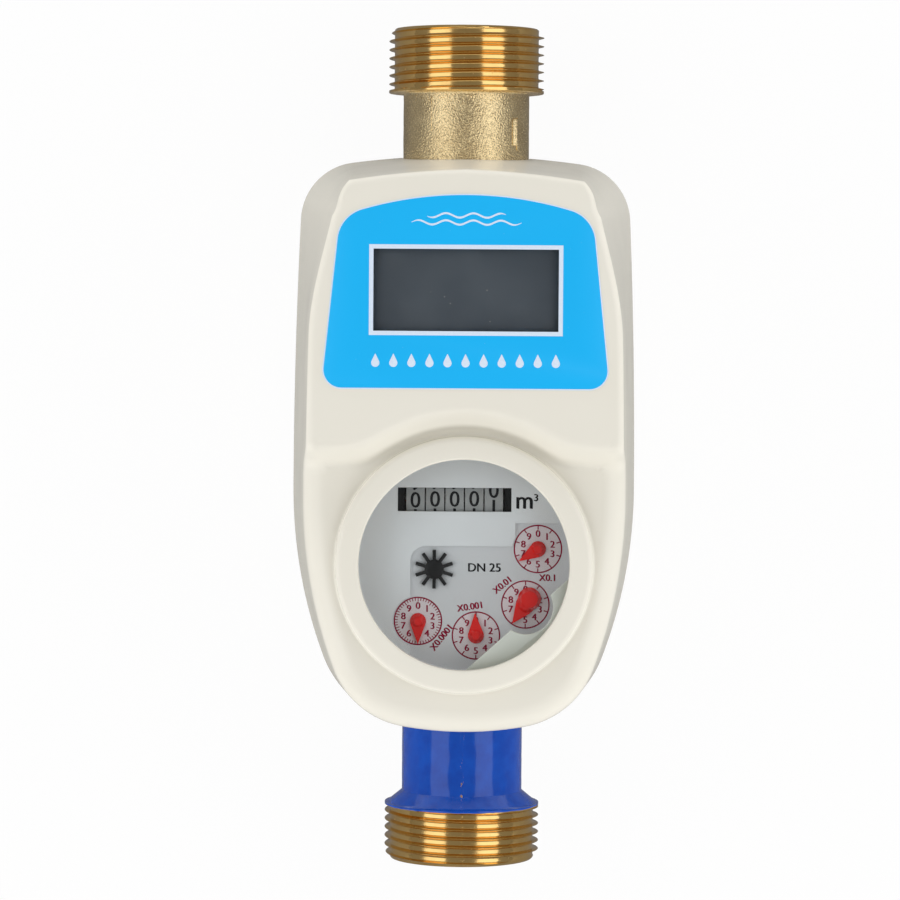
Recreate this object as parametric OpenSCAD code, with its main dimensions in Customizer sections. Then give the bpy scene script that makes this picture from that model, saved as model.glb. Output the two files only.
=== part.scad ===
// Prepayment water meter, DN25: a painted meter casting and a brass ball valve in one moulded casing.
// The pipe axis runs along Y with the valve end at +Y. The dial faces +Z and the casing's back lies on Z = 0.

/* [Water way] */
// Length from pipe end to pipe end
overall_l = 225; // [220:1:236]
// Height of the pipe axis above the casing's back
axis_h = 36; // [35:0.5:40]
// Diameter of the water way
bore_d = 25; // [23:0.5:26]
// Outside diameter of both pipe threads
thread_d = 41.91; // [40:0.01:44]
// Chamfer at the pipe ends
thread_chamfer = 1.2; // [0.6:0.1:1.8]
// Length of the thread on the valve end
valve_thread_l = 17.2; // [14:0.1:19]
// Diameter of the bare neck on the valve end
valve_neck_d = 34; // [32:0.1:36]
// Length of the thread on the meter end
meter_thread_l = 15.2; // [12:0.1:17]
// Diameter of the painted neck on the meter end
meter_neck_d = 32.6; // [31:0.1:35]
// Length of the cone between the painted neck and its thread
shoulder_l = 3.3; // [2:0.1:5]

/* [Casing] */
// Greatest width of the casing
case_w = 92.6; // [91:0.2:100]
// Distance from mid-length to the casing's valve end
valve_end_y = 78.4; // [77:0.2:82]
// Distance from mid-length to the casing's meter end
meter_end_y = 77; // [75:0.2:80]
// Distance from mid-length to the casing's widest line, towards the meter end
widest_y = 11.7; // [8:0.1:16]
// Radius of the arched valve end
end_arc_r = 230; // [180:5:400]
// Radius of the corners at the valve end
end_corner_r = 16; // [15.5:0.5:20]
// Radius of the sides above the widest line
upper_side_r = 1600; // [1200:50:3000]
// Radius of the sides below the widest line
lower_side_r = 131; // [120:1:150]
// Radius of the corners at the meter end
foot_corner_r = 28; // [24:0.5:32]
// Radius of the arched meter end
foot_arc_r = 95; // [85:1:120]
// Wall of the mouldings
case_wall = 2.4; // [2:0.1:3]
// Draft of the front cover's walls, degrees
draft = 5.2; // [4:0.1:5.8]
// Height of the display face above the pipe axis
face_rise = 63; // [61:0.5:68]
// Height of the lower deck above the pipe axis
deck_rise = 54.4; // [53:0.2:58]
// Edge radius of the display face
face_edge_r = 2; // [1:0.1:3]
// Edge radius of the lower deck
deck_edge_r = 6; // [4:0.1:6.5]
// Run of the slope between the deck and the display face
slope_run = 7; // [5:0.1:9]
// How far the face's sides lean in at the valve end
side_lean = 6.7; // [4:0.1:7.2]
// Draft of the rear cover's walls, degrees
rear_draft = 4; // [2:0.1:5]
// Edge radius of the rear cover
rear_edge_r = 4; // [3:0.1:5]
// Floor of the rear cover
rear_floor = 3; // [2.4:0.1:3.6]
// Radius of a case screw
case_screw_r = 1.5; // [1.2:0.1:1.8]
// Radius of a case screw's head
case_head_r = 2.8; // [2.4:0.1:3]
// Depth of the wells that hold the case screws' heads
screw_well = 24; // [20:0.5:28]
// Reach of a case screw into the front cover
screw_bite = 9; // [6:0.5:14]

/* [Display] */
// Width of the label at its lower edge
label_w = 73.2; // [68:0.2:74]
// Width of the label below its upper corners
label_top_w = 66.4; // [62:0.2:67]
// Length of the label
label_l = 50; // [46:0.2:52]
// Distance from mid-length to the label's lower edge
label_y = 16.6; // [15:0.2:19]
// Thickness of the label
label_t = 0.4; // [0.3:0.05:0.6]
// How far the label stands out of its recess
label_proud = 0.1; // [0:0.05:0.2]
// Radius of the label's arched upper edge
label_arc_r = 94; // [80:1:140]
// Radius of the label's upper corners
label_corner_r = 9; // [6:0.5:11]
// Radius of the label's lower corners
label_foot_r = 5; // [3:0.5:7]
// Width of the display window
window_w = 47.2; // [40:0.2:48]
// Length of the display window
window_l = 20.9; // [16:0.1:23]
// Distance from mid-length to the middle of the window
window_y = 42; // [40:0.1:44]
// Overlap of the label on the lens, all round
lens_lap = 1.2; // [0.8:0.1:1.8]
// Thickness of the display glass
lcd_t = 2.6; // [2:0.1:3.2]
// Thickness of the frame between the display glass and the board
lcd_frame_t = 2; // [1.6:0.1:3]
// Thickness of the circuit board
board_t = 1.6; // [1:0.1:2]
// Width of the circuit board
board_w = 61; // [58:0.5:62]
// Length of the circuit board
board_l = 42; // [40:0.5:42]

/* [Register] */
// Distance from mid-length to the dial's centre, towards the meter end
dial_y = 28.65; // [27:0.05:30]
// Diameter of the dial opening
dial_d = 54.3; // [50:0.1:55]
// Outside diameter of the collar round the dial
collar_d = 66.4; // [65:0.1:67]
// Height of the collar above the deck
collar_rise = 3.2; // [2.4:0.1:5]
// Rounding of the collar's edges
collar_edge = 1.5; // [0.6:0.1:1.6]
// Thickness of the dial glass
glass_t = 4.5; // [3.5:0.1:5]
// Thickness of the gasket under the glass
gasket_t = 1; // [0.6:0.1:1.6]
// Space between the dial and the glass
dial_gap = 1.8; // [1.7:0.1:3]
// Thickness of the dial plate
dial_t = 3; // [2.8:0.1:4]
// Depth of the lower level of the dial
dial_step = 1.2; // [0.8:0.1:1.6]
// Radius of the circle of small dials
small_dial_circle = 19.6; // [19:0.1:20]
// Radius of a small dial's well
small_dial_r = 6.7; // [6.2:0.1:7.2]
// Radius of a number drum
drum_r = 7.3; // [6.5:0.1:7.4]
// Distance between number drums
drum_pitch = 5.1; // [4.6:0.1:5.1]
// Space between two number drums
drum_space = 0.3; // [0.2:0.05:0.6]
// Sideways place of the counter
counter_x = -2.5; // [-3:0.1:-1.5]
// Distance from the dial's centre to the counter's axis
counter_y = 16.2; // [15:0.1:16.4]
// Width of the counter window
counter_w = 29.6; // [28:0.1:30]
// Length of the counter window
counter_l = 6.2; // [5:0.1:7]
// Radius of a pointer's hub
pointer_r = 2.1; // [1.6:0.1:2.4]
// Reach of a pointer's tip
pointer_tip = 6; // [4.5:0.1:6.3]
// Radius of the pointer arbors
arbor_r = 0.6; // [0.4:0.05:0.8]
// Radius of the star wheel
star_r = 5.05; // [4:0.05:5.4]

/* [Meter casting] */
// Outside radius of the measuring bowl
bowl_r = 35; // [34:0.1:36]
// Radius of the bowl's threaded rim
rim_r = 32.9; // [32:0.1:33.2]
// Radius of the bowl's upper bore
register_bore_r = 29.6; // [29:0.1:30.2]
// Width of the ledge that carries the chamber cover
ledge_w = 1; // [0.6:0.1:1.6]
// Height of the ledge above the pipe axis
ledge_rise = 14.5; // [13.5:0.1:16]
// Floor of the bowl
bowl_floor = 4; // [3:0.1:5]
// Height of the pads under the bowl
bowl_pad = 3; // [2:0.1:4]
// Length of the inlet boss beyond the bowl
boss_l = 9.6; // [8:0.1:12]
// Wall of the inlet boss and of the valve casting round the nipple
boss_wall = 3.6; // [3:0.1:4]
// Wall of the locking ring
lock_wall = 2.2; // [1.6:0.1:2.4]
// Thickness of the locking ring's lip
lock_lip = 1.2; // [0.8:0.1:1.6]
// Outside radius of the measuring chamber
chamber_r = 25; // [23:0.1:26]
// Wall of the measuring chamber
chamber_wall = 2.4; // [2:0.1:3]
// Number of jets in the measuring chamber
jet_count = 10; // [8:1:12]
// Number of impeller vanes
vane_count = 8; // [6:1:10]
// Thickness of the chamber cover
cover_t = 3; // [2.4:0.1:4]
// Radius of the impeller spindle
spindle_r = 2; // [1.6:0.1:2.4]

/* [Valve] */
// Wall of the joint nipple
nipple_wall = 4; // [3.5:0.1:4.5]
// Grip of the nipple in each casting
nipple_grip = 10.8; // [9:0.1:13]
// Thickness of the joint washer and of the strainer's flange
washer_t = 1.2; // [0.8:0.1:2]
// Radius of the valve ball
ball_r = 14.5; // [14:0.1:15]
// Radius of the hole through the ball
ball_bore_r = 10; // [8:0.1:10]
// Depth of a seat behind the ball
seat_back = 5; // [4:0.1:6]
// Radius of the valve stem
stem_r = 4; // [3.5:0.1:4.4]
// Height of the valve flange above the pipe axis
flange_rise = 26; // [25:0.2:28]
// Radius of the valve flange
flange_r = 15; // [14:0.1:16]
// Thickness of the actuator's floor, lid and walls
actuator_wall = 2; // [1.6:0.1:2.4]
// Tooth size of the output gear and its pinion
output_module = 0.8; // [0.7:0.05:0.85]
// Teeth of the output gear
output_teeth = 40; // [36:1:42]
// Teeth of the pinion that drives it
pinion_teeth = 10; // [9:1:12]
// Tooth size of the motor's gears
motor_module = 0.6; // [0.5:0.05:0.65]
// Teeth of the reduction wheel
wheel_teeth = 36; // [30:1:38]
// Teeth of the motor's pinion
motor_teeth = 9; // [9:1:12]
// Width of the output gear's teeth
output_face = 5; // [4:0.1:6]
// Width of the motor gears' teeth
motor_face = 3; // [2:0.1:4]
// Radius of the valve motor
motor_r = 7.6; // [6:0.1:8]
// Length of the valve motor
motor_l = 11; // [9:0.1:12]

/* [Power] */
// Radius of a battery cell
cell_r = 7.25; // [6.5:0.05:7.3]
// Length of a battery cell without its tip
cell_l = 49; // [44:0.1:50]
// Wall of a battery tray
tray_wall = 1.2; // [1:0.1:1.6]

/* [Fits] */
// Space between neighbours that don't touch
gap = 0.3; // [0.2:0.05:0.4]
// Radial clearance of turning shafts
run = 0.05; // [0.03:0.01:0.08]

/* [Hidden] */
$fn = 96;
PRESSURE_ANGLE = 20;
half_l = overall_l / 2;
half_w = case_w / 2;
bore_r = bore_d / 2;
thread_r = thread_d / 2;
dial = [0, -dial_y];
face_z = axis_h + face_rise;
deck_z = axis_h + deck_rise;
collar_z = deck_z + collar_rise;
collar_r = collar_d / 2;
dial_r = dial_d / 2;

// Heights of the register, from the cover downwards
lock_z = deck_z - case_wall - gap;
glass_top_z = lock_z - lock_lip;
glass_z = glass_top_z - glass_t;
rim_z = glass_z - gasket_t;
dial_z = glass_z - dial_gap;
step_z = dial_z - dial_step;
register_top_z = dial_z - dial_t;
ledge_z = axis_h + ledge_rise;
register_z = ledge_z + cover_t;
bowl_z = rear_floor + bowl_pad;
chamber_z = bowl_z + bowl_floor;
glass_r = rim_r - lock_wall / 2;
register_r = register_bore_r - gap;
drum_sink = 0.8;
counter = [counter_x, dial[1] + counter_y];
counter_z = dial_z - drum_sink - drum_r;
drum_count = 5;
shaft_r = 1;
drum_row = drum_count * drum_pitch;
pocket_w = drum_row + 2 * gap;

// Places along the water way, from the bowl towards the valve end
nipple_r = bore_r + nipple_wall;
boss_r = nipple_r + boss_wall;
boss_end_y = dial[1] + bowl_r + boss_l;
nipple_y = boss_end_y - nipple_grip + washer_t;
valve_y = boss_end_y + washer_t;
seat_y = valve_y + nipple_grip;
seat_r = nipple_r - 0.9;
seat_bore_r = ball_bore_r + 0.5;
seat_reach = sqrt(pow(ball_r, 2) - pow(seat_bore_r, 2));
ball_y = seat_y + seat_back + seat_reach;
far_seat_y = ball_y + seat_reach + seat_back;
flange_z = axis_h + flange_rise;
flange_t = 5;

// Valve actuator: the stem, the reduction gear and the motor stand on three parallel axes
stem_at = [0, ball_y];
actuator_z = flange_z + actuator_wall;
output_z = actuator_z + 4 * gap;
wheel_z = output_z + output_face + 4 * gap;
lid_z = wheel_z + motor_face + 3 * gap;
output_centres = (output_teeth + pinion_teeth) * output_module / 2;
motor_centres = (wheel_teeth + motor_teeth) * motor_module / 2;
reduction_turn = 150;
motor_turn = 200;
reduction_at = stem_at + output_centres * [cos(reduction_turn), sin(reduction_turn)];
motor_at = reduction_at + motor_centres * [cos(motor_turn), sin(motor_turn)];
gear_room = 1.2;
tooth_play = 0.16;
journal_r = 1.5;
motor_shaft_r = 1;
square_w = stem_r * sqrt(2) - 0.05;

// Display and board heights, from the face downwards
label_z = face_z - label_t + label_proud;
lens_w = window_w + 2 * lens_lap;
lens_l = window_l + 2 * lens_lap;
lcd_top_z = face_z - case_wall;
lcd_z = lcd_top_z - lcd_t;
board_top_z = lcd_z - lcd_frame_t;
board_z = board_top_z - board_t;
board_at = [0, window_y - 2];
post_r = 2.2;
board_screw_r = 0.9;
post_x = board_w / 2 - post_r - 0.2;
post_y = board_l / 2 - post_r - 0.6;

// Case screws stand in two pairs, at the valve end and on the side walls
pillar_r = 3.2;
pillar_h = 20;
well_r = case_head_r + 1.5;
end_pillar_in = [15.2, 13];
side_pillar_in = 10.6;
side_pillar_y = -2;
end_pillar = [half_w - end_pillar_in[0], valve_end_y - end_pillar_in[1]];
side_pillar = [half_w - side_pillar_in, side_pillar_y];
wall_in = tan(draft) * pillar_h + case_wall / 2;
end_web = valve_end_y - end_pillar[1] - pow(end_pillar[0], 2) / (2 * end_arc_r) - wall_in;
side_web = half_w - side_pillar[0] - wall_in;

// Battery trays lie beside the valve
cell_tip_r = 2.6;
cell_tip_l = 1.2;
tray_w = 2 * (cell_r + gap / 2 + tray_wall);
tray_l = cell_l + cell_tip_l + gap + 2 * tray_wall;
tray_h = 4 * cell_r + tray_wall;
tray_in = 17;
tray_y = 33;
tray_at = [half_w - tray_in, tray_y];

// Two screws hold the actuator on the flange of the valve
actuator_screw_in = 3;
actuator_screw_r = 1.2;
actuator_head_r = 2.2;
actuator_head_h = 0.9;
actuator_skin = 1;

// Round openings for the pipe necks, cut through the end walls of the casing
neck_cut_out = 2;
valve_cut_in = 12;
meter_cut_in = 20;

// General functions

function clamp01(t) = min(1, max(0, t));

function ease(t) = let (c = clamp01(t)) c * c * (3 - 2 * c);

function unit(a) = [cos(a), sin(a)];

function arc(c, r, from, to, steps) =
    [for (i = [0 : steps]) c + r * unit(from + (to - from) * i / steps)];

// Point at distance r1 from c1 and r2 from c2, on the chosen side of the line from c1 to c2
function meet(c1, r1, c2, r2, side) =
    let (d = norm(c2 - c1))
    let (e = (c2 - c1) / d)
    let (along = (r1 * r1 - r2 * r2 + d * d) / (2 * d))
    let (across = sqrt(r1 * r1 - along * along))
    c1 + along * e + side * across * [-e[1], e[0]];

function angle_of(v) = atan2(v[1], v[0]);

function mirrored(points) = [for (i = [len(points) - 1 : -1 : 0]) [-points[i][0], points[i][1]]];

// Lower edge of the slope between the deck and the display face
slope_y = dial[1] + 24.2;

// Plan outline of the casing: a chain of tangent arcs.
// Each station is [centre, radius, direction], so a point inset by d lies at centre + (radius - d) * direction.

top_c = [0, valve_end_y - end_arc_r];
upper_c = [half_w - upper_side_r, -widest_y];
lower_c = [half_w - lower_side_r, -widest_y];
foot_c = [0, foot_arc_r - meter_end_y];
top_corner_c = meet(top_c, end_arc_r - end_corner_r, upper_c, upper_side_r - end_corner_r, -1);
foot_corner_c = meet(foot_c, foot_arc_r - foot_corner_r, lower_c, lower_side_r - foot_corner_r, 1);

// The stations stand closer where the slope runs out to the side walls
slope_turn = asin((slope_y + 2 * slope_run + widest_y) / upper_side_r);

half_arcs = [
    [top_c, end_arc_r, 90, angle_of(top_corner_c - top_c), 4],
    [top_corner_c, end_corner_r, angle_of(top_corner_c - top_c), angle_of(top_corner_c - upper_c), 7],
    [upper_c, upper_side_r, angle_of(top_corner_c - upper_c), slope_turn, 6],
    [upper_c, upper_side_r, slope_turn, 0, 11],
    [lower_c, lower_side_r, 0, angle_of(foot_corner_c - lower_c), 6],
    [foot_corner_c, foot_corner_r, angle_of(foot_corner_c - lower_c), angle_of(foot_corner_c - foot_c), 6],
    [foot_c, foot_arc_r, angle_of(foot_corner_c - foot_c), -90, 4]
];

right_stations = [
    for (a = half_arcs)
        for (i = [0 : a[4] - 1])
            [a[0], a[1], unit(a[2] + (a[3] - a[2]) * i / a[4])]
];
foot_station = [[foot_c, foot_arc_r, [0, -1]]];
left_stations = [
    for (i = [len(right_stations) - 1 : -1 : 1])
        let (s = right_stations[i])
            [[-s[0][0], s[0][1]], s[1], [-s[2][0], s[2][1]]]
];
stations = concat(right_stations, foot_station, left_stations);

function inset(s, d) = s[0] + (s[1] - d) * s[2];

// Front cover: a raised display face, a lower deck and a slope that bends round the dial's collar

slope_blend = 3;
lean_from = 30;

// 0 on the deck, 1 on the display face
function rise(p) =
    let (above = p[1] - slope_y)
    let (outside = norm(p - dial) - collar_r - gap)
    let (far = (above + outside - sqrt(pow(above - outside, 2) + slope_blend * slope_blend)) / 2)
    ease(far / slope_run);

function top_z(p) = deck_z + (face_z - deck_z) * rise(p);

function lean(s) =
    side_lean * ease((inset(s, 0)[1] - lean_from) / (valve_end_y - lean_from)) * abs(s[2][0]);

// Inset of a shoulder's centre, for a skin that lies off behind the outside with edge radius r
function shoulder_inset(s, z, r, off) =
    tan(draft) * (z - off - r * (1 - sin(draft)) - axis_h) + lean(s) + off + r * cos(draft);

shoulder_steps = 4;
deck_steps = 13;
under_steps = 6;
deck_spread = 1.7;

function edge_r(s) =
    let (full = deck_edge_r + (face_edge_r - deck_edge_r) * rise(inset(s, deck_edge_r + case_wall)))
    let (wall_d = tan(draft) * (deck_rise - deck_edge_r))
    min(full, norm(inset(s, wall_d) - dial) - collar_r - 2 * gap);

// Shoulder of one spoke, from the wall to the top
function shoulder(s, off) =
    let (full = edge_r(s))
    let (r = max(full - off, 0.5))
    let (top = top_z(inset(s, tan(draft) * face_rise + full)))
    let (c = shoulder_inset(s, top, r, off))
    [
        for (i = [0 : shoulder_steps])
            let (a = draft + (90 - draft) * i / shoulder_steps)
            let (p = inset(s, c - r * cos(a)))
                [p[0], p[1], top_z(p) - off - r * (1 - sin(a))]
    ];

// Deck of one spoke, from its shoulder in to radius inner
function deck_run(from, inner, off, steps) =
    let (v = [from[0], from[1]] - dial)
    let (reach = norm(v))
    [
        for (i = [steps - 1 : -1 : 0])
            let (p = dial + v / reach * (inner + (reach - inner) * pow(i / steps, deck_spread)))
                [p[0], p[1], top_z(p) - off]
    ];

// Collar of one spoke, from its foot over the top and down into the opening
function collar_run(from) =
    let (v = [from[0], from[1]] - dial)
    let (e = v / norm(v))
    let (outer = arc([collar_r - collar_edge, collar_z - collar_edge], collar_edge, 0, 90, 3))
    let (inner = arc([dial_r + collar_edge / 2, collar_z - collar_edge / 2], collar_edge / 2, 90, 180, 2))
    let (under = [[dial_r, collar_z - case_wall], [collar_r - case_wall, collar_z - case_wall]])
    [for (p = concat(outer, inner, under)) [dial[0] + e[0] * p[0], dial[1] + e[1] * p[0], p[1]]];

function spoke(s) =
    let (out = shoulder(s, 0))
    let (inn = shoulder(s, case_wall))
    let (foot_out = inset(s, 0))
    let (foot_in = inset(s, case_wall))
    let (under_deck = deck_run(inn[shoulder_steps], collar_r - case_wall, case_wall, under_steps))
    concat(
        [[foot_out[0], foot_out[1], axis_h]],
        out,
        deck_run(out[shoulder_steps], collar_r, 0, deck_steps),
        collar_run(out[shoulder_steps]),
        [for (i = [under_steps - 1 : -1 : 0]) under_deck[i]],
        [for (i = [shoulder_steps : -1 : 0]) inn[i]],
        [[foot_in[0], foot_in[1], axis_h]]
    );

// Closed sections joined into a ring
module ring_of_sections(sections) {
    n = len(sections);
    m = len(sections[0]);
    polyhedron(
        points = [for (s = sections) each s],
        faces = [
            for (i = [0 : n - 1])
                for (j = [0 : m - 1])
                    let (a = i * m + j)
                    let (b = i * m + (j + 1) % m)
                    let (c = (i + 1) % n * m + (j + 1) % m)
                    let (d = (i + 1) % n * m + j)
                    let (left = sections[i][j][0] + sections[(i + 1) % n][j][0] < 0)
                        each left ? [[a, c, b], [a, d, c]] : [[a, d, b], [d, c, b]]
        ]
    );
}

// Closed loops stacked into a solid with a flat cap at each end
module stack_of_loops(loops) {
    n = len(loops[0]);
    last = len(loops) - 1;
    polyhedron(
        points = [for (l = loops) each l],
        faces = concat(
            [[for (i = [n - 1 : -1 : 0]) i]],
            [
                for (k = [0 : last - 1])
                    for (i = [0 : n - 1])
                        let (a = k * n + i)
                        let (b = k * n + (i + 1) % n)
                            each [[a, b, b + n], [a, b + n, a + n]]
            ],
            [[for (i = [0 : n - 1]) last * n + i]]
        )
    );
}

module at_each_side(p) {
    for (side = [-1, 1])
        translate([side * p[0], p[1], 0])
            children();
}

// Cylinder along the pipe axis from y0 to y1
module along_pipe(r, y0, y1) {
    translate([0, y0, axis_h])
        rotate([-90, 0, 0])
            cylinder(r = r, h = y1 - y0);
}

// Revolved shape on the pipe axis: points are [radius, y]
module turned_on_pipe(points) {
    translate([0, 0, axis_h])
        rotate([90, 0, 0])
            mirror([0, 0, 1])
                rotate_extrude()
                    polygon(points);
}

module ring(outer, inner, z0, z1) {
    translate([0, 0, z0])
        difference() {
            cylinder(r = outer, h = z1 - z0);
            translate([0, 0, -1])
                cylinder(r = inner, h = z1 - z0 + 2);
        }
}

module block(w, l, z0, z1) {
    translate([-w / 2, -l / 2, z0])
        cube([w, l, z1 - z0]);
}

module neck_openings() {
    along_pipe(valve_neck_d / 2 + gap, valve_end_y - valve_cut_in, valve_end_y + neck_cut_out);
    along_pipe(meter_neck_d / 2 + gap, -meter_end_y - neck_cut_out, -meter_end_y + meter_cut_in);
}

// Label outline: four corner arcs joined by tangent lines under an arched top
function label_half(grow) =
    let (apex = label_y + label_l)
    let (foot = [label_w / 2 - label_foot_r, label_y + label_foot_r])
    let (head_x = label_top_w / 2 - label_corner_r)
    let (arc_c = [0, apex - label_arc_r])
    let (head = [head_x, arc_c[1] + sqrt(pow(label_arc_r - label_corner_r, 2) - head_x * head_x)])
    let (span = head - foot)
    let (side = angle_of(span) - acos((label_foot_r - label_corner_r) / norm(span)))
    let (top = angle_of(head - arc_c))
    concat(
        arc(foot, label_foot_r + grow, -90, side, 6),
        arc(head, label_corner_r + grow, side, top, 8),
        arc(arc_c, label_arc_r + grow, top, 90, 5)
    );

module label_shape(grow) {
    half = label_half(grow);
    polygon(concat(half, [for (i = [len(half) - 2 : -1 : 0]) [-half[i][0], half[i][1]]]));
}

// Screw pillar with a web that ties it to the wall
module pillar(turn, web) {
    cylinder(r = pillar_r, h = pillar_h);
    rotate([0, 0, turn])
        translate([0, -case_wall / 2, 0])
            cube([web, case_wall, pillar_h]);
}

module front_cover() {
    color("ivory")
        difference() {
            union() {
                ring_of_sections([for (s = stations) spoke(s)]);
                for (side = [-1, 1]) {
                    translate([side * end_pillar[0], end_pillar[1], axis_h])
                        pillar(90, end_web);
                    translate([side * side_pillar[0], side_pillar[1], axis_h])
                        pillar(side < 0 ? 180 : 0, side_web);
                }
                translate([board_at[0], board_at[1], 0])
                    for (x = [-post_x, post_x], y = [-post_y, post_y])
                        translate([x, y, 0])
                            block(2 * post_r, 2 * post_r, board_top_z, face_z - case_wall / 2);
            }
            neck_openings();
            translate([0, 0, label_z])
                linear_extrude(case_wall)
                    label_shape(0);
            translate([0, window_y, 0])
                block(lens_w, lens_l, face_z - 2 * case_wall, face_z + 1);
            for (p = [end_pillar, side_pillar])
                at_each_side(p)
                    translate([0, 0, axis_h - 1])
                        cylinder(r = case_screw_r, h = screw_bite + 1);
            translate([board_at[0], board_at[1], 0])
                for (x = [-post_x, post_x], y = [-post_y, post_y])
                    translate([x, y, board_top_z - 1])
                        cylinder(r = board_screw_r, h = lcd_t + 1);
        }
}

// Loop of the rear cover's skin at height z, off behind the outside
function rear_loop(d, z) = [for (s = stations) let (p = inset(s, d)) [p[0], p[1], z]];

function rear_edge(off, base) =
    let (r = rear_edge_r - off)
    let (c = tan(rear_draft) * (axis_h - rear_edge_r) + rear_edge_r)
    [
        for (i = [0 : shoulder_steps])
            let (a = 90 - (90 - rear_draft) * i / shoulder_steps)
                [c - r * cos(a), base + r * (1 - sin(a))]
    ];

module rear_cover() {
    inner_edge = rear_edge(case_wall, rear_floor);
    color("ivory")
        difference() {
            union() {
                stack_of_loops(concat(
                    [for (e = rear_edge(0, 0)) rear_loop(e[0], e[1])],
                    [rear_loop(0, axis_h), rear_loop(case_wall, axis_h)],
                    [for (i = [shoulder_steps : -1 : 0]) rear_loop(inner_edge[i][0], inner_edge[i][1])]
                ));
                for (p = [end_pillar, side_pillar])
                    at_each_side(p)
                        translate([0, 0, rear_floor / 2])
                            cylinder(r = well_r, h = axis_h - rear_floor / 2);
                translate([dial[0], dial[1], 0])
                    ring(bowl_r - 6, bowl_r - 10, rear_floor / 2, bowl_z);
                for (y = [valve_y + 6, far_seat_y - 4])
                    translate([0, y, 0])
                        block(boss_r, 2 * case_wall, rear_floor / 2, axis_h - boss_r + 1.2);
            }
            neck_openings();
            along_pipe(boss_r, valve_y, far_seat_y);
            for (p = [end_pillar, side_pillar])
                at_each_side(p) {
                    translate([0, 0, -1])
                        cylinder(r = case_head_r + gap, h = screw_well + 1);
                    cylinder(r = case_screw_r + gap / 2, h = axis_h + 1);
                }
        }
}

module case_screws() {
    color("silver")
        for (p = [end_pillar, side_pillar])
            at_each_side(p)
                difference() {
                    union() {
                        translate([0, 0, screw_well - 2])
                            cylinder(r = case_head_r, h = 2);
                        translate([0, 0, screw_well - 1])
                            cylinder(r = case_screw_r, h = axis_h + screw_bite - screw_well);
                    }
                    translate([0, 0, screw_well - 3])
                        for (a = [0, 90])
                            rotate([0, 0, a])
                                block(3, 0.7, 0, 2);
                }
}

module display_label() {
    color("deepskyblue")
        difference() {
            translate([0, 0, label_z])
                linear_extrude(label_t)
                    label_shape(-gap / 3);
            translate([0, window_y, 0])
                block(window_w, window_l, label_z - 1, face_z + 1);
        }
}

module display_lens() {
    color("lightsteelblue", 0.4)
        translate([0, window_y, 0])
            block(lens_w - gap, lens_l - gap, lcd_top_z, label_z);
}

module lcd_panel() {
    color("dimgray")
        translate([0, window_y, 0])
            block(lens_w + 1, lens_l + 1, lcd_z, lcd_top_z);
}

module lcd_frame() {
    color("black")
        translate([0, window_y, 0])
            difference() {
                block(lens_w + 1, lens_l + 1, board_top_z, lcd_z);
                block(lens_w - 4, lens_l - 4, board_top_z - 1, lcd_z + 1);
            }
}

module circuit_board() {
    color("darkgreen")
        translate([board_at[0], board_at[1], 0])
            difference() {
                block(board_w, board_l, board_z, board_top_z);
                for (x = [-post_x, post_x], y = [-post_y, post_y])
                    translate([x, y, board_z - 1])
                        cylinder(r = board_screw_r + gap / 2, h = board_t + 2);
            }
}

module board_parts() {
    controller_w = 10;
    buzzer_r = 5;
    capacitor_r = 4;
    color("black")
        translate([board_at[0], board_at[1], 0]) {
            block(controller_w, controller_w, board_z - 1.4, board_z);
            translate([board_w / 4, board_l / 5, 0])
                block(controller_w / 2, controller_w * 0.8, board_z - 1.6, board_z);
            translate([-board_w / 3.4, -board_l / 5, board_z - 5])
                ring(buzzer_r, 1, 0, 5);
            translate([board_w / 3.4, -board_l / 5, board_z - 7])
                cylinder(r = capacitor_r, h = 7);
        }
}

module board_screws() {
    color("silver")
        translate([board_at[0], board_at[1], 0])
            for (x = [-post_x, post_x], y = [-post_y, post_y])
                translate([x, y, 0]) {
                    translate([0, 0, board_z - 1.2])
                        cylinder(r = 2 * board_screw_r, h = 1.2);
                    translate([0, 0, board_z - 0.2])
                        cylinder(r = board_screw_r, h = board_t + lcd_t - 0.4);
                }
}

module battery_tray(side) {
    color("black")
        translate([side * tray_at[0], tray_at[1], rear_floor])
            difference() {
                block(tray_w, tray_l, 0, tray_h * 0.7);
                block(tray_w - 2 * tray_wall, tray_l - 2 * tray_wall, tray_wall, tray_h);
                rotate([90, 0, 0])
                    translate([0, tray_h * 0.75, -tray_l])
                        cylinder(r = cell_r * 0.8, h = 2 * tray_l);
            }
}

module battery_tray_left() {
    battery_tray(-1);
}

module battery_tray_right() {
    battery_tray(1);
}

module battery_cells() {
    color("goldenrod")
        for (side = [-1, 1], level = [0, 1])
            translate([
                side * tray_at[0],
                tray_at[1] - tray_l / 2 + tray_wall,
                rear_floor + tray_wall + cell_r * (1 + 2 * level)
            ])
                rotate([-90, 0, 0]) {
                    cylinder(r = cell_r, h = cell_l);
                    translate([0, 0, cell_l - 0.5])
                        cylinder(r = cell_tip_r, h = cell_tip_l + 0.5);
                }
}

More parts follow.
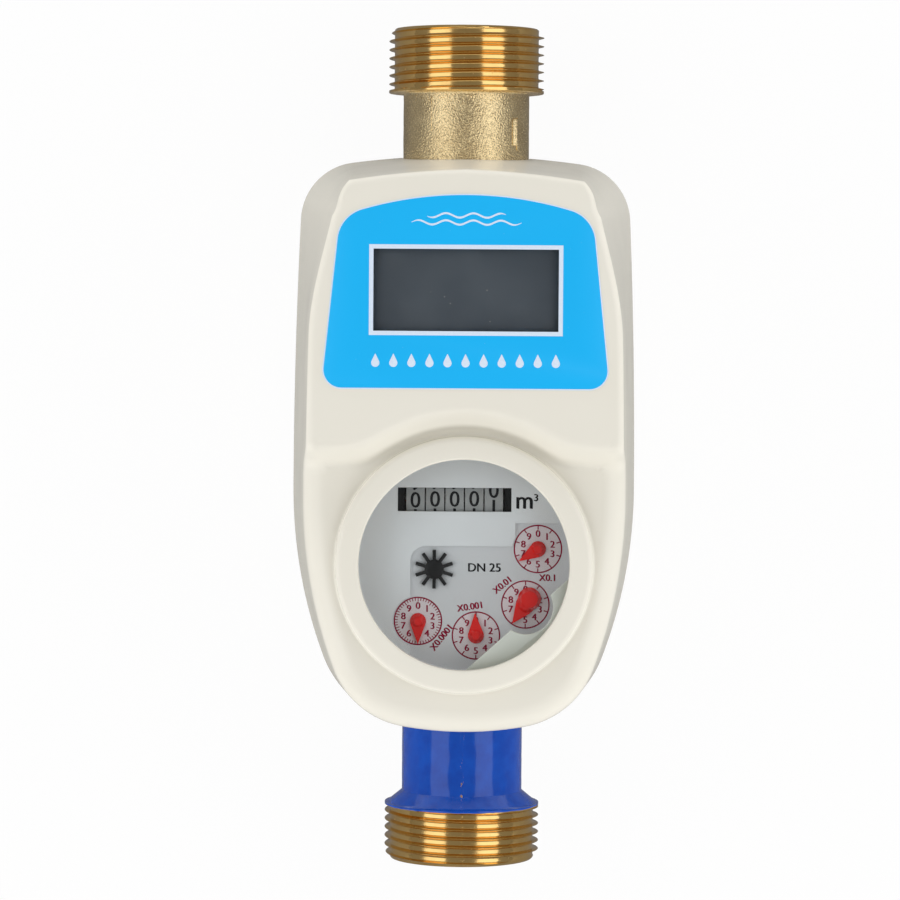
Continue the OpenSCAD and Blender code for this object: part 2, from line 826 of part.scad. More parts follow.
// Painted casting: bowl, outlet neck with its thread, and the inlet boss
module meter_body() {
    end_y = -half_l;
    thread_y = end_y + meter_thread_l;
    neck_r = meter_neck_d / 2;
    rim_from = axis_h + boss_r + 4;
    bowl_edge = 6;
    color("royalblue")
        difference() {
            union() {
                translate([dial[0], dial[1], 0])
                    rotate_extrude()
                        polygon(concat(
                            [[0, bowl_z]],
                            arc([bowl_r - bowl_edge, bowl_z + bowl_edge], bowl_edge, -90, 0, 6),
                            [[bowl_r, rim_from], [rim_r, rim_from + 2], [rim_r, rim_z], [0, rim_z]]
                        ));
                turned_on_pipe([
                    [0, dial[1]], [neck_r, dial[1]], [neck_r, thread_y + shoulder_l],
                    [thread_r - 0.6, thread_y], [thread_r, thread_y],
                    [thread_r, end_y + thread_chamfer], [thread_r - thread_chamfer, end_y], [0, end_y]
                ]);
                along_pipe(boss_r, dial[1], boss_end_y);
            }
            translate([dial[0], dial[1], ledge_z])
                cylinder(r = register_bore_r, h = rim_z);
            translate([dial[0], dial[1], chamber_z])
                cylinder(r = register_bore_r - ledge_w, h = rim_z);
            along_pipe(bore_r, end_y - 1, boss_end_y);
            along_pipe(nipple_r, boss_end_y - nipple_grip, boss_end_y + 1);
        }
}

// Bare casting: ball chamber, stem flange, neck and thread
module valve_body() {
    end_y = half_l;
    thread_y = end_y - valve_thread_l;
    neck_r = valve_neck_d / 2;
    color("peru")
        difference() {
            union() {
                turned_on_pipe([
                    [0, valve_y], [boss_r, valve_y], [boss_r, far_seat_y], [neck_r, far_seat_y + 4],
                    [neck_r, thread_y], [thread_r, thread_y], [thread_r, end_y - thread_chamfer],
                    [thread_r - thread_chamfer, end_y], [0, end_y]
                ]);
                translate([stem_at[0], stem_at[1], axis_h])
                    cylinder(r = stem_r + 5, h = flange_rise);
                translate([stem_at[0], stem_at[1], flange_z - flange_t])
                    cylinder(r = flange_r, h = flange_t);
            }
            along_pipe(nipple_r, valve_y - 1, seat_y);
            along_pipe(seat_r, seat_y - 1, far_seat_y);
            along_pipe(bore_r, far_seat_y - 1, end_y + 1);
            translate([stem_at[0], stem_at[1], axis_h])
                cylinder(r = stem_r + 1.5 + run, h = flange_rise + 1);
            translate([stem_at[0], stem_at[1], gland_z])
                cylinder(r = stem_r + 2.6, h = flange_rise);
            for (side = [-1, 1])
                translate([stem_at[0] + side * (flange_r - actuator_screw_in), stem_at[1], flange_z - flange_t - 1])
                    cylinder(r = actuator_screw_r, h = flange_t + 2);
        }
}

module joint_nipple() {
    color("darkgoldenrod")
        difference() {
            along_pipe(nipple_r, nipple_y, seat_y);
            along_pipe(bore_r, nipple_y - 1, seat_y + 1);
        }
}

module joint_washer() {
    color("black")
        difference() {
            along_pipe(boss_r, boss_end_y, valve_y);
            along_pipe(nipple_r, boss_end_y - 1, valve_y + 1);
        }
}

module inlet_strainer() {
    flange_y = boss_end_y - nipple_grip;
    hole_r = 1.3;
    hole_gap = 3.6;
    color("white")
        difference() {
            union() {
                along_pipe(nipple_r, flange_y, nipple_y);
                along_pipe(bore_r - gap, flange_y - 4, nipple_y);
            }
            along_pipe(bore_r - gap - 1, flange_y - 3, nipple_y + 1);
            for (ix = [-2 : 2], iz = [-2 : 2])
                if (ix * ix + iz * iz < 7)
                    translate([ix * hole_gap, 0, iz * hole_gap])
                        along_pipe(hole_r, flange_y - 5, flange_y);
        }
}

module valve_seats() {
    color("white")
        difference() {
            union() {
                along_pipe(seat_r, seat_y, seat_y + seat_back + 1.5);
                along_pipe(seat_r, far_seat_y - seat_back - 1.5, far_seat_y);
            }
            along_pipe(seat_bore_r, seat_y - 1, far_seat_y + 1);
            translate([0, ball_y, axis_h])
                sphere(r = ball_r + run);
        }
}

tang_w = 4;
tang_l = 9;
tang_h = 3;

module valve_ball() {
    color("silver")
        translate([0, ball_y, axis_h])
            difference() {
                sphere(r = ball_r);
                rotate([90, 0, 0])
                    cylinder(r = ball_bore_r, h = 3 * ball_r, center = true);
                block(3 * tang_l, tang_w, ball_r - tang_h, ball_r + 1);
            }
}

module valve_stem() {
    collar_top = gland_z - run;
    color("silver")
        translate([stem_at[0], stem_at[1], 0]) {
            block(tang_l, tang_w, axis_h + ball_r - tang_h, axis_h + ball_r + 1);
            translate([0, 0, axis_h + ball_r + gap])
                cylinder(r = stem_r + 1.5, h = collar_top - axis_h - ball_r - gap);
            translate([0, 0, collar_top - 0.5])
                cylinder(r = stem_r, h = output_z - collar_top + 0.5);
            block(square_w, square_w, output_z - 0.5, output_z + output_face);
            translate([0, 0, output_z + output_face - 0.5])
                cylinder(r = journal_r, h = lid_z + actuator_wall - output_z - output_face);
        }
}

seal_r = 0.8;
gland_z = axis_h + seat_r + 4;
gland_top_z = flange_z - 0.5;
seal_z = [for (share = [0.3, 0.7]) gland_z + share * (gland_top_z - gland_z)];

module stem_gland() {
    color("goldenrod")
        translate([stem_at[0], stem_at[1], 0])
            difference() {
                ring(stem_r + 2.6, stem_r + run, gland_z, gland_top_z);
                for (z = seal_z)
                    translate([0, 0, z - seal_r])
                        cylinder(r = stem_r + run + 2 * seal_r, h = 2 * seal_r);
            }
}

module stem_seals() {
    color("black")
        translate([stem_at[0], stem_at[1], 0])
            for (z = seal_z)
                translate([0, 0, z])
                    rotate_extrude()
                        translate([stem_r + run + seal_r, 0])
                            circle(r = seal_r, $fn = 32);
}

// Involute gears

function roll(base, r) = let (t = sqrt(max(0, pow(r / base, 2) - 1))) t * 180 / PI - atan(t);

function gear_points(teeth, size) =
    let (pitch = teeth * size / 2)
    let (base = pitch * cos(PRESSURE_ANGLE))
    let (tip = pitch + 0.9 * size)
    let (root = pitch - 1.2 * size)
    let (half = 90 / teeth - tooth_play * 45 / (PI * pitch) + roll(base, pitch))
    let (low = max(root, base))
    let (flank = [for (i = [0 : 3]) let (r = low + (tip - low) * i / 3) [r, half - roll(base, r)]])
    let (side = concat([[root, half]], flank))
    [
        for (t = [0 : teeth - 1])
            let (mid = 360 * t / teeth)
                each concat(
                    [for (i = [0 : 4]) side[i][0] * unit(mid - side[i][1])],
                    [for (i = [4 : -1 : 0]) side[i][0] * unit(mid + side[i][1])]
                )
    ];

module gear(teeth, size, face) {
    linear_extrude(face)
        polygon(gear_points(teeth, size));
}

module output_gear() {
    color("white")
        translate([stem_at[0], stem_at[1], output_z])
            difference() {
                rotate([0, 0, reduction_turn])
                    gear(output_teeth, output_module, output_face);
                block(square_w, square_w, -1, output_face + 1);
            }
}

module reduction_gear() {
    color("whitesmoke")
        translate([reduction_at[0], reduction_at[1], 0]) {
            translate([0, 0, output_z])
                rotate([0, 0, reduction_turn + 180 + 180 / pinion_teeth])
                    gear(pinion_teeth, output_module, wheel_z - output_z + 0.5);
            translate([0, 0, wheel_z])
                rotate([0, 0, motor_turn])
                    gear(wheel_teeth, motor_module, motor_face);
            translate([0, 0, flange_z + gap])
                cylinder(r = journal_r, h = lid_z + actuator_wall - 2 * gap - flange_z);
        }
}

module motor_pinion() {
    color("white")
        translate([motor_at[0], motor_at[1], 0]) {
            translate([0, 0, wheel_z])
                rotate([0, 0, motor_turn + 180 + 180 / motor_teeth])
                    gear(motor_teeth, motor_module, motor_face);
            translate([0, 0, flange_z - motor_l / 2])
                cylinder(r = motor_shaft_r, h = wheel_z + motor_face - flange_z + motor_l / 2);
        }
}

module valve_motor() {
    color("silver")
        translate([motor_at[0], motor_at[1], 0])
            difference() {
                translate([0, 0, flange_z - motor_l])
                    cylinder(r = motor_r, h = motor_l);
                translate([0, 0, flange_z - motor_l / 2 - gap])
                    cylinder(r = motor_shaft_r + run, h = motor_l);
            }
}

// Plan of the gear housing, grown by d round the three gears
module actuator_plan(d) {
    translate(stem_at)
        circle(r = output_teeth * output_module / 2 + output_module + d);
    translate(reduction_at)
        circle(r = wheel_teeth * motor_module / 2 + motor_module + d);
    translate(motor_at)
        circle(r = motor_teeth * motor_module / 2 + motor_module + d);
}

module actuator_tray() {
    outer = gear_room + actuator_wall;
    color("gainsboro")
        difference() {
            translate([0, 0, flange_z])
                linear_extrude(lid_z - flange_z)
                    actuator_plan(outer);
            translate([0, 0, actuator_z])
                linear_extrude(lid_z)
                    actuator_plan(gear_room);
            translate([stem_at[0], stem_at[1], flange_z - 1])
                cylinder(r = stem_r + run, h = actuator_wall + 2);
            translate([reduction_at[0], reduction_at[1], flange_z - 1])
                cylinder(r = journal_r + run, h = actuator_wall + 2);
            translate([motor_at[0], motor_at[1], flange_z - 1])
                cylinder(r = motor_shaft_r + gap, h = actuator_wall + 2);
            for (side = [-1, 1])
                translate([stem_at[0] + side * (flange_r - actuator_screw_in), stem_at[1], flange_z - 1])
                    cylinder(r = actuator_screw_r, h = actuator_wall + 2);
        }
}

module actuator_lid() {
    color("gainsboro")
        difference() {
            translate([0, 0, lid_z])
                linear_extrude(actuator_wall)
                    actuator_plan(gear_room + actuator_wall);
            for (p = [stem_at, reduction_at])
                translate([p[0], p[1], lid_z - 1])
                    cylinder(r = journal_r + run, h = actuator_wall + 2);
        }
}

module actuator_screws() {
    color("silver")
        for (side = [-1, 1])
            translate([stem_at[0] + side * (flange_r - actuator_screw_in), stem_at[1], 0]) {
                translate([0, 0, actuator_z])
                    cylinder(r = actuator_head_r, h = actuator_head_h);
                translate([0, 0, flange_z - flange_t + actuator_skin])
                    cylinder(r = actuator_screw_r, h = flange_t - actuator_skin + actuator_wall + gap);
            }
}

// Measuring unit

module measuring_chamber() {
    jet_w = 3.2;
    jet_h = 9;
    color("lightgray")
        translate([dial[0], dial[1], 0])
            difference() {
                translate([0, 0, chamber_z])
                    cylinder(r = chamber_r, h = ledge_z - chamber_z);
                translate([0, 0, chamber_z + chamber_wall])
                    cylinder(r = chamber_r - chamber_wall, h = ledge_z);
                for (i = [0 : jet_count - 1], level = [0, 1])
                    rotate([0, 0, 360 * i / jet_count + 18 * level])
                        translate([chamber_r * 0.62, level ? -chamber_r : 0, chamber_z + 8 + 17 * level])
                            cube([jet_w, chamber_r, jet_h]);
                translate([0, 0, chamber_z + 1])
                    cylinder(r = shaft_r, h = chamber_wall);
            }
}

pivot_top_z = chamber_z + chamber_wall + 7;

module pivot_pin() {
    color("silver")
        translate([dial[0], dial[1], chamber_z + 1])
            cylinder(r = shaft_r, h = pivot_top_z - chamber_z - 1);
}

module chamber_cover() {
    color("lightgray")
        translate([dial[0], dial[1], 0])
            ring(register_r, spindle_r + run, ledge_z, register_z);
}

module impeller() {
    hub_r = 4.2;
    hub_z = pivot_top_z - 5;
    vane_r = chamber_r - chamber_wall - 1.4;
    vane_h = 22;
    top = register_z + 5;
    color("cornflowerblue")
        translate([dial[0], dial[1], 0])
            difference() {
                union() {
                    translate([0, 0, hub_z])
                        cylinder(r = hub_r, h = vane_h + 3);
                    translate([0, 0, hub_z])
                        cylinder(r = spindle_r, h = top - hub_z);
                    for (i = [0 : vane_count - 1])
                        rotate([0, 0, 360 * i / vane_count])
                            translate([0, -0.6, hub_z + 1.5])
                                cube([vane_r, 1.2, vane_h]);
                    translate([0, 0, register_z + 1])
                        gear(10, output_module * 0.7, top - register_z - 1);
                }
                translate([0, 0, hub_z - 1])
                    cylinder(r = shaft_r + run, h = pivot_top_z - hub_z + 1 + gap);
            }
}

// Places of the four small dials, clockwise from the right, by their angle round the dial
small_dial_turns = [10, -34.6, -80.3, -127.2];

function small_dial_at(i) = dial + small_dial_circle * unit(small_dial_turns[i]);

star_at = dial + [-7.7, -2];
arbor_depth = 6;

module register_case() {
    color("gainsboro")
        difference() {
            translate([dial[0], dial[1], register_z])
                cylinder(r = register_r, h = register_top_z - register_z);
            translate([counter[0], counter[1], counter_z])
                rotate([0, 90, 0])
                    cylinder(r = drum_r + gap, h = pocket_w, center = true);
            translate([counter[0], counter[1], 0])
                block(pocket_w, 2 * (drum_r + gap), counter_z, register_top_z + 1);
            translate([counter[0], counter[1], counter_z])
                rotate([0, 90, 0])
                    cylinder(r = shaft_r, h = pocket_w + 1, center = true);
            for (p = [for (i = [0 : 3]) small_dial_at(i), star_at])
                translate([p[0], p[1], register_top_z - arbor_depth])
                    cylinder(r = arbor_r + run, h = arbor_depth + 1);
            translate([dial[0], dial[1], register_z - 1])
                cylinder(r = spindle_r + 2, h = 7);
        }
}

// White dial with a sunk lower level for the small dials
module dial_plate() {
    step_left = -13.9;
    step_top = 4.05;
    notch_left = 13.4;
    notch_top = 10.2;
    corner = 4;
    rim_wall = 0.8;
    step_margin = 1.2;
    color("white")
        difference() {
            union() {
                translate([dial[0], dial[1], register_top_z])
                    cylinder(r = register_r, h = dial_t);
                translate([dial[0], dial[1], 0])
                    ring(register_r, register_r - rim_wall, register_top_z, glass_z);
            }
            translate([dial[0], dial[1], step_z])
                linear_extrude(dial_t)
                    intersection() {
                        circle(r = register_r - step_margin);
                        union() {
                            translate([step_left + corner, -register_r])
                                square([register_r * 2, register_r + step_top]);
                            translate([step_left, -register_r])
                                square([register_r, register_r + step_top - corner]);
                            translate([step_left + corner, step_top - corner])
                                circle(r = corner);
                            translate([notch_left, -register_r])
                                square([register_r, register_r + notch_top]);
                            for (i = [0 : 3])
                                translate(small_dial_circle * unit(small_dial_turns[i]))
                                    circle(r = small_dial_r);
                        }
                    }
            translate([counter[0], counter[1], 0])
                block(counter_w, counter_l, register_top_z - 1, dial_z + 1);
            translate([counter[0] - counter_w / 2, counter[1], counter_z])
                rotate([0, 90, 0])
                    cylinder(r = drum_r + gap, h = counter_w);
            for (p = [for (i = [0 : 3]) small_dial_at(i), star_at])
                translate([p[0], p[1], register_top_z - 1])
                    cylinder(r = arbor_r + gap, h = dial_t + 2);
        }
}

module arbor(p, top) {
    translate([p[0], p[1], register_top_z - arbor_depth + gap])
        cylinder(r = arbor_r, h = top - register_top_z + arbor_depth - gap);
}

// Flow indicator: straight arms round a hub
module star_wheel() {
    arms = 10;
    arm_w = star_r * 0.18;
    arm_t = 0.8;
    color("black") {
        arbor(star_at, step_z + 1);
        translate([star_at[0], star_at[1], step_z + gap]) {
            for (i = [0 : arms - 1])
                rotate([0, 0, 360 * i / arms + 90])
                    translate([0, -arm_w / 2, 0])
                        cube([star_r, arm_w, arm_t]);
            cylinder(r = star_r / 2, h = arm_t + 0.4);
        }
    }
}

// Teardrop pointer: hub radius r, tip towards angle turn
module pointer(i, r, tip, h, turn) {
    p = small_dial_at(i);
    touch = acos(r / tip);
    z = step_z + gap;
    color("red") {
        arbor(p, z + 0.5);
        translate([p[0], p[1], z]) {
            cylinder(r1 = r, r2 = r * 0.45, h = h);
            linear_extrude(h * 0.45)
                polygon([r * unit(turn + touch), [0, 0], r * unit(turn - touch), tip * unit(turn)]);
        }
    }
}

pointer_h = 1.7;

module pointer_tenths() {
    pointer(0, pointer_r, pointer_tip, pointer_h, 212);
}

// The second pointer is thick and carries the pulse magnet in its tail
module pointer_hundredths() {
    turn = 235;
    tail_r = pointer_r * 1.45;
    tail = small_dial_at(1) - unit(turn) * tail_r * 0.6;
    pointer(1, pointer_r * 1.2, pointer_tip, pointer_h * 1.2, turn);
    color("red")
        translate([tail[0], tail[1], step_z + gap])
            cylinder(r1 = tail_r, r2 = tail_r * 0.7, h = pointer_h * 1.35);
}

module pointer_thousandths() {
    pointer(2, pointer_r, pointer_tip, pointer_h, 93);
}

module pointer_ten_thousandths() {
    pointer(3, pointer_r, pointer_tip, pointer_h, 270);
}

module drum_shaft() {
    color("silver")
        translate([counter[0], counter[1], counter_z])
            rotate([0, 90, 0])
                cylinder(r = shaft_r, h = pocket_w + 1, center = true);
}

// Number drum: a rim on a thin web
module counter_drum(i) {
    w = drum_pitch - drum_space;
    rim = 1.2;
    color("black")
        translate([counter[0] + (i - (drum_count - 1) / 2) * drum_pitch, counter[1], counter_z])
            rotate([0, 90, 0])
                difference() {
                    cylinder(r = drum_r, h = w, center = true);
                    translate([0, 0, -w / 2 + 1])
                        ring(drum_r - rim, shaft_r + 1.4, 0, w);
                    cylinder(r = shaft_r + run, h = 2 * w, center = true);
                }
}

module counter_drum_1() {
    counter_drum(0);
}

module counter_drum_2() {
    counter_drum(1);
}

module counter_drum_3() {
    counter_drum(2);
}

module counter_drum_4() {
    counter_drum(3);
}

module counter_drum_5() {
    counter_drum(4);
}

module dial_glass() {
    edge = 0.4;
    color("lightcyan", 0.3)
        translate([dial[0], dial[1], 0])
            rotate_extrude()
                polygon([
                    [0, glass_z], [glass_r, glass_z], [glass_r, glass_top_z - edge],
                    [glass_r - edge, glass_top_z], [0, glass_top_z]
                ]);
}

module glass_gasket() {
    color("black")
        translate([dial[0], dial[1], 0])
            ring(glass_r, register_bore_r, rim_z, glass_z);
}

module locking_ring() {
    grip_l = 12;
    low_z = rim_z - grip_l;
    outer = rim_r + lock_wall;
    top_r = glass_r + lock_wall;
    color("goldenrod")
        translate([dial[0], dial[1], 0])
            rotate_extrude()
                polygon([
                    [rim_r, low_z], [outer, low_z], [outer, rim_z - 2], [top_r, glass_z + 2],
                    [top_r, lock_z], [dial_r + 1, lock_z], [dial_r + 1, glass_top_z],
                    [glass_r, glass_top_z], [glass_r, rim_z], [rim_r, rim_z]
                ]);
}

// Pulse pick-up: a segment that lies on the glass, cut out round the dial of the magnet pointer
module pulse_sensor() {
    chord = 20.9;
    turn = -48;
    edge = dial_r + 1 - gap;
    color("honeydew")
        translate([0, 0, glass_top_z])
            difference() {
                translate([dial[0], dial[1], 0])
                    rotate([0, 0, turn])
                        intersection() {
                            cylinder(r = edge, h = lock_lip);
                            translate([chord, -edge, 0])
                                cube([edge, 2 * edge, lock_lip]);
                        }
                translate([small_dial_at(1)[0], small_dial_at(1)[1], -1])
                    cylinder(r = small_dial_r + gap, h = lock_lip + 2);
            }
}

front_cover();
rear_cover();
case_screws();
display_label();
display_lens();
lcd_panel();
lcd_frame();
circuit_board();
board_parts();
board_screws();
battery_tray_left();
battery_tray_right();
battery_cells();
meter_body();
valve_body();
joint_nipple();
joint_washer();
inlet_strainer();
valve_seats();
valve_ball();
valve_stem();
stem_gland();
stem_seals();
actuator_tray();
actuator_lid();
actuator_screws();
valve_motor();
motor_pinion();
reduction_gear();
output_gear();
measuring_chamber();
chamber_cover();
pivot_pin();
impeller();
register_case();
dial_plate();
star_wheel();
pointer_tenths();
pointer_hundredths();
pointer_thousandths();
pointer_ten_thousandths();
drum_shaft();
counter_drum_1();
counter_drum_2();
counter_drum_3();
counter_drum_4();
counter_drum_5();
dial_glass();
glass_gasket();
locking_ring();
pulse_sensor();
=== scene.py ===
"""Water meter, DN25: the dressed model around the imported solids.

A cream moulded casing with a blue display label and a round dial stands over two castings: a bare brass
one with the valve, and a blue painted one with the measuring unit. Lengths in the classes are in millimetres.
"""

import logging
import math
from dataclasses import dataclass, field
from enum import Enum
from typing import Any, Callable, Iterable, Sequence, Union

import bmesh
import bpy
from mathutils import Matrix, Vector, noise

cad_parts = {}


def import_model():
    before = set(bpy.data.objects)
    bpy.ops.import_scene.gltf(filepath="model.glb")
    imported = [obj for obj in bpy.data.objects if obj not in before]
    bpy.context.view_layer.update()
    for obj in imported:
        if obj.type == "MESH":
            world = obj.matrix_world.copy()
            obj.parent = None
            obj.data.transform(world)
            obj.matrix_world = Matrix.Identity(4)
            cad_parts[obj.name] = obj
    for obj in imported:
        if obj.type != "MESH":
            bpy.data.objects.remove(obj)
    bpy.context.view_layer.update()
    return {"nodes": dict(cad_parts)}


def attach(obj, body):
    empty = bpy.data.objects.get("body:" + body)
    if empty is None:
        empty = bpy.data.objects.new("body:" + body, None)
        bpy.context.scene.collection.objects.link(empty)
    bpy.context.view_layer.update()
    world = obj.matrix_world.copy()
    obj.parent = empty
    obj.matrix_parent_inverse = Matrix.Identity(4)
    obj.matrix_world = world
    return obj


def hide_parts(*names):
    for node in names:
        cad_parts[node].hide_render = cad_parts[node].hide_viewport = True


LOG = logging.getLogger("water_meter")
MM = 0.001
BODY = "meter"
Colour = tuple[float, float, float]
Point = tuple[float, float]
Station = tuple[Vector, float, Vector]
Nodes = dict[str, bpy.types.Object]
Ring = list[bmesh.types.BMVert]
# One pitch of the thread, as (share of the pitch, share of the depth).
THREAD_RISE: tuple[Point, ...] = (
    (0.0, 0.0),
    (0.13, 0.0),
    (0.28, 0.03),
    (0.34, 0.12),
    (0.47, 0.97),
    (0.49, 1.0),
)
THREAD_FORM = THREAD_RISE + tuple((1 - t, d) for t, d in reversed(THREAD_RISE))


def ease(t: float) -> float:
    """Smooth step from 0 to 1."""
    c = min(1.0, max(0.0, t))
    return c * c * (3 - 2 * c)


def turn_of(v: Vector) -> float:
    """Angle of a plan vector, counter-clockwise from +X, in radians."""
    return math.atan2(v.y, v.x)


def unit(angle: float) -> Vector:
    """Plan vector of length 1 at an angle in radians."""
    return Vector((math.cos(angle), math.sin(angle)))


def arc(centre: Point, radius: float, start: float, end: float, steps: int) -> list[Point]:
    """Points along an arc.

    Args:
        centre: Middle of the arc.
        radius: Its radius.
        start: First angle in degrees.
        end: Last angle in degrees.
        steps: Number of chords.

    Returns:
        steps + 1 points from start to end.
    """
    found = []
    for i in range(steps + 1):
        a = math.radians(start + (end - start) * i / steps)
        found.append((centre[0] + radius * math.cos(a), centre[1] + radius * math.sin(a)))
    return found


def slice_across(
    bm: bmesh.types.BMesh, y: float, near: float = 0.0, facing: int = 1, clear: bool = False
) -> None:
    """Cut a mesh at a distance along Y.

    Args:
        bm: The mesh.
        y: Place of the cut.
        near: Vertices this close count as on the cut.
        facing: Direction of the cut along Y, 1 or -1.
        clear: Whether what lies beyond the cut goes.
    """
    bmesh.ops.bisect_plane(
        bm,
        geom=bm.verts[:] + bm.edges[:] + bm.faces[:],
        dist=near,
        plane_co=(0, y, 0),
        plane_no=(0, facing, 0),
        clear_outer=clear,
    )


def put(name: str, data: bpy.types.ID, place: Matrix) -> bpy.types.Object:
    """Add an object to the scene.

    Args:
        name: Its name.
        data: Its camera or lamp.
        place: Its place and turn.

    Returns:
        The object.
    """
    made = bpy.data.objects.new(name, data)
    bpy.context.scene.collection.objects.link(made)
    made.matrix_world = place
    return made


def maths(operation: str, swapped: bool = False) -> Callable[..., "Sock"]:
    """Make an operator of shader values.

    Args:
        operation: What its Math node does.
        swapped: Whether the value itself is the second operand.

    Returns:
        The method that adds the node.
    """

    def add(self: "Sock", other: "Value" = 0.0) -> "Sock":
        """Add one Math node."""
        first, second = (other, self) if swapped else (self, other)
        return self.shader.node("ShaderNodeMath", {"operation": operation}, {0: first, 1: second})

    return add


class Sock:
    """A shader value that Python expressions can use."""

    __add__, __radd__ = maths("ADD"), maths("ADD", True)
    __sub__, __rsub__ = maths("SUBTRACT"), maths("SUBTRACT", True)
    __mul__, __abs__, most = maths("MULTIPLY"), maths("ABSOLUTE"), maths("MAXIMUM")

    def __init__(self, shader: "Shader", socket: bpy.types.NodeSocket | None) -> None:
        """Keep the socket and the shader it belongs to."""
        self.shader = shader
        self.socket = socket

    def span(self, low: float, high: float) -> "Sock":
        """Smooth 0 to 1 as the value goes from low to high."""
        return self.shader.node(
            "ShaderNodeMapRange",
            {"interpolation_type": "SMOOTHSTEP"},
            {0: self, 1: low, 2: high, 3: 0.0, 4: 1.0},
        )


Value = Union[Sock, float, Sequence[float]]
Sockets = dict[int | str, Value]


class Shader:
    """The node tree of a material or a world, written as expressions."""

    def __init__(self, name: str, world: bool = False) -> None:
        """Start an empty tree.

        Args:
            name: Name of the material or world.
            world: Whether it is a world.
        """
        self.owner = (bpy.data.worlds if world else bpy.data.materials).new(name)
        self.owner.use_nodes = True
        self.tree = self.owner.node_tree
        self.tree.nodes.clear()
        self.output = "ShaderNodeOutputWorld" if world else "ShaderNodeOutputMaterial"

    def node(
        self,
        kind: str,
        settings: dict[str, Any] | None = None,
        sockets: Sockets | None = None,
        out: int | str = 0,
    ) -> Sock:
        """Add a node.

        Args:
            kind: The node's type name.
            settings: Its properties.
            sockets: Values or links of its input sockets.
            out: The output that is returned.

        Returns:
            The chosen output.
        """
        made = self.tree.nodes.new(kind)
        for key, value in (settings or {}).items():
            setattr(made, key, value)
        for key, value in (sockets or {}).items():
            if isinstance(value, Sock):
                self.tree.links.new(value.socket, made.inputs[key])
            else:
                made.inputs[key].default_value = value
        return Sock(self, made.outputs[out] if made.outputs else None)

    def place(self) -> Sock:
        """Object coordinates, in metres."""
        return self.node("ShaderNodeTexCoord", out="Object")

    def axis(self, name: str) -> Sock:
        """One Object coordinate, in millimetres."""
        return self.node("ShaderNodeSeparateXYZ", None, {0: self.place()}, name) * (1 / MM)

    def stretched(self, scale: Sequence[float]) -> Sock:
        """Object coordinates with each axis scaled."""
        return self.node("ShaderNodeMapping", None, {"Vector": self.place(), "Scale": tuple(scale)})

    def grain(self, size_mm: float, detail: float = 2.0, rough: float = 0.5, at: Sock | None = None) -> Sock:
        """Noise whose blotches are about size_mm wide."""
        return self.node(
            "ShaderNodeTexNoise",
            None,
            {"Vector": at or self.place(), "Scale": 1 / (size_mm * MM), "Detail": detail, "Roughness": rough},
        )

    def cells(self, size_mm: float, at: Sock | None = None) -> Sock:
        """Voronoi distance with cells about size_mm wide."""
        sockets = {"Vector": at or self.place(), "Scale": 1 / (size_mm * MM)}
        return self.node("ShaderNodeTexVoronoi", None, sockets)

    def mix(self, share: Value, a: Value, b: Value) -> Sock:
        """Colour between a and b."""
        sides = {6: a if isinstance(a, Sock) else (*a, 1.0), 7: b if isinstance(b, Sock) else (*b, 1.0)}
        return self.node("ShaderNodeMix", {"data_type": "RGBA"}, {0: share, **sides}, 2)

    def bump(self, height: Sock, strength: float, depth_mm: float) -> Sock:
        """Normal bent by a height."""
        sockets = {"Height": height, "Strength": strength, "Distance": depth_mm * MM}
        return self.node("ShaderNodeBump", None, sockets)

    def principled(self, sockets: Sockets) -> Sock:
        """The surface shader."""
        return self.node("ShaderNodeBsdfPrincipled", None, sockets)

    def finish(self, surface: Sock) -> bpy.types.ID:
        """Link the surface to the output."""
        self.node(self.output, None, {"Surface": surface})
        return self.owner


class Finish:
    """A named surface that builds its material from its own nodes."""

    name: str

    def surface(self, sh: Shader) -> Sock:
        """Shader of the surface."""
        raise NotImplementedError

    def material(self) -> bpy.types.Material:
        """Build the material."""
        sh = Shader(self.name)
        return sh.finish(self.surface(sh))


@dataclass(frozen=True)
class Moulded(Finish):
    """Injection-moulded plastic with a faint mould grain."""

    name: str
    colour: Colour
    shade: Colour
    roughness: float = 0.3
    coat: float = 0.0
    shine: float = 0.5
    grain_mm: float = 0.35
    depth_mm: float = 0.006

    def surface(self, sh: Shader) -> Sock:
        """Broad flow marks, mould grain and a few specks.

        Args:
            sh: Nodes of the material.

        Returns:
            The surface.
        """
        broad = sh.grain(34)
        fine = sh.grain(self.grain_mm)
        specks = sh.cells(7).span(0.05, 0.025)
        colour = sh.mix(broad.span(0.3, 0.75) * 0.5 + fine * 0.16, self.colour, self.shade)
        height = fine * 0.7 + sh.grain(1.6, 3) * 0.5
        return sh.principled(
            {
                "Base Color": sh.mix(specks * 0.18, colour, self.shade),
                "Roughness": self.roughness + (broad - 0.5) * 0.12 + (fine - 0.5) * 0.05,
                "Coat Weight": self.coat,
                "Coat Roughness": 0.12,
                "Specular IOR Level": self.shine,
                "Normal": sh.bump(height, 0.35, self.depth_mm),
            }
        )


@dataclass(frozen=True)
class Film(Finish):
    """Printed plastic film, one ink over the whole face."""

    name: str
    colour: Colour
    deep: Colour
    dust: Colour = (0.75, 0.85, 0.95)

    def surface(self, sh: Shader) -> Sock:
        """Slightly uneven ink under a little dust.

        Args:
            sh: Nodes of the material.

        Returns:
            The surface.
        """
        broad = sh.grain(26)
        dust = sh.cells(3.1).span(0.045, 0.02)
        colour = sh.mix(broad.span(0.25, 0.8) * 0.6, self.colour, self.deep)
        return sh.principled(
            {
                "Base Color": sh.mix(dust * 0.12, colour, self.dust),
                "Roughness": 0.34 + (broad - 0.5) * 0.1 + dust * 0.2,
                "Specular IOR Level": 0.35,
                "Normal": sh.bump(sh.grain(0.22, 1) + broad * 0.5, 0.12, 0.01),
            }
        )


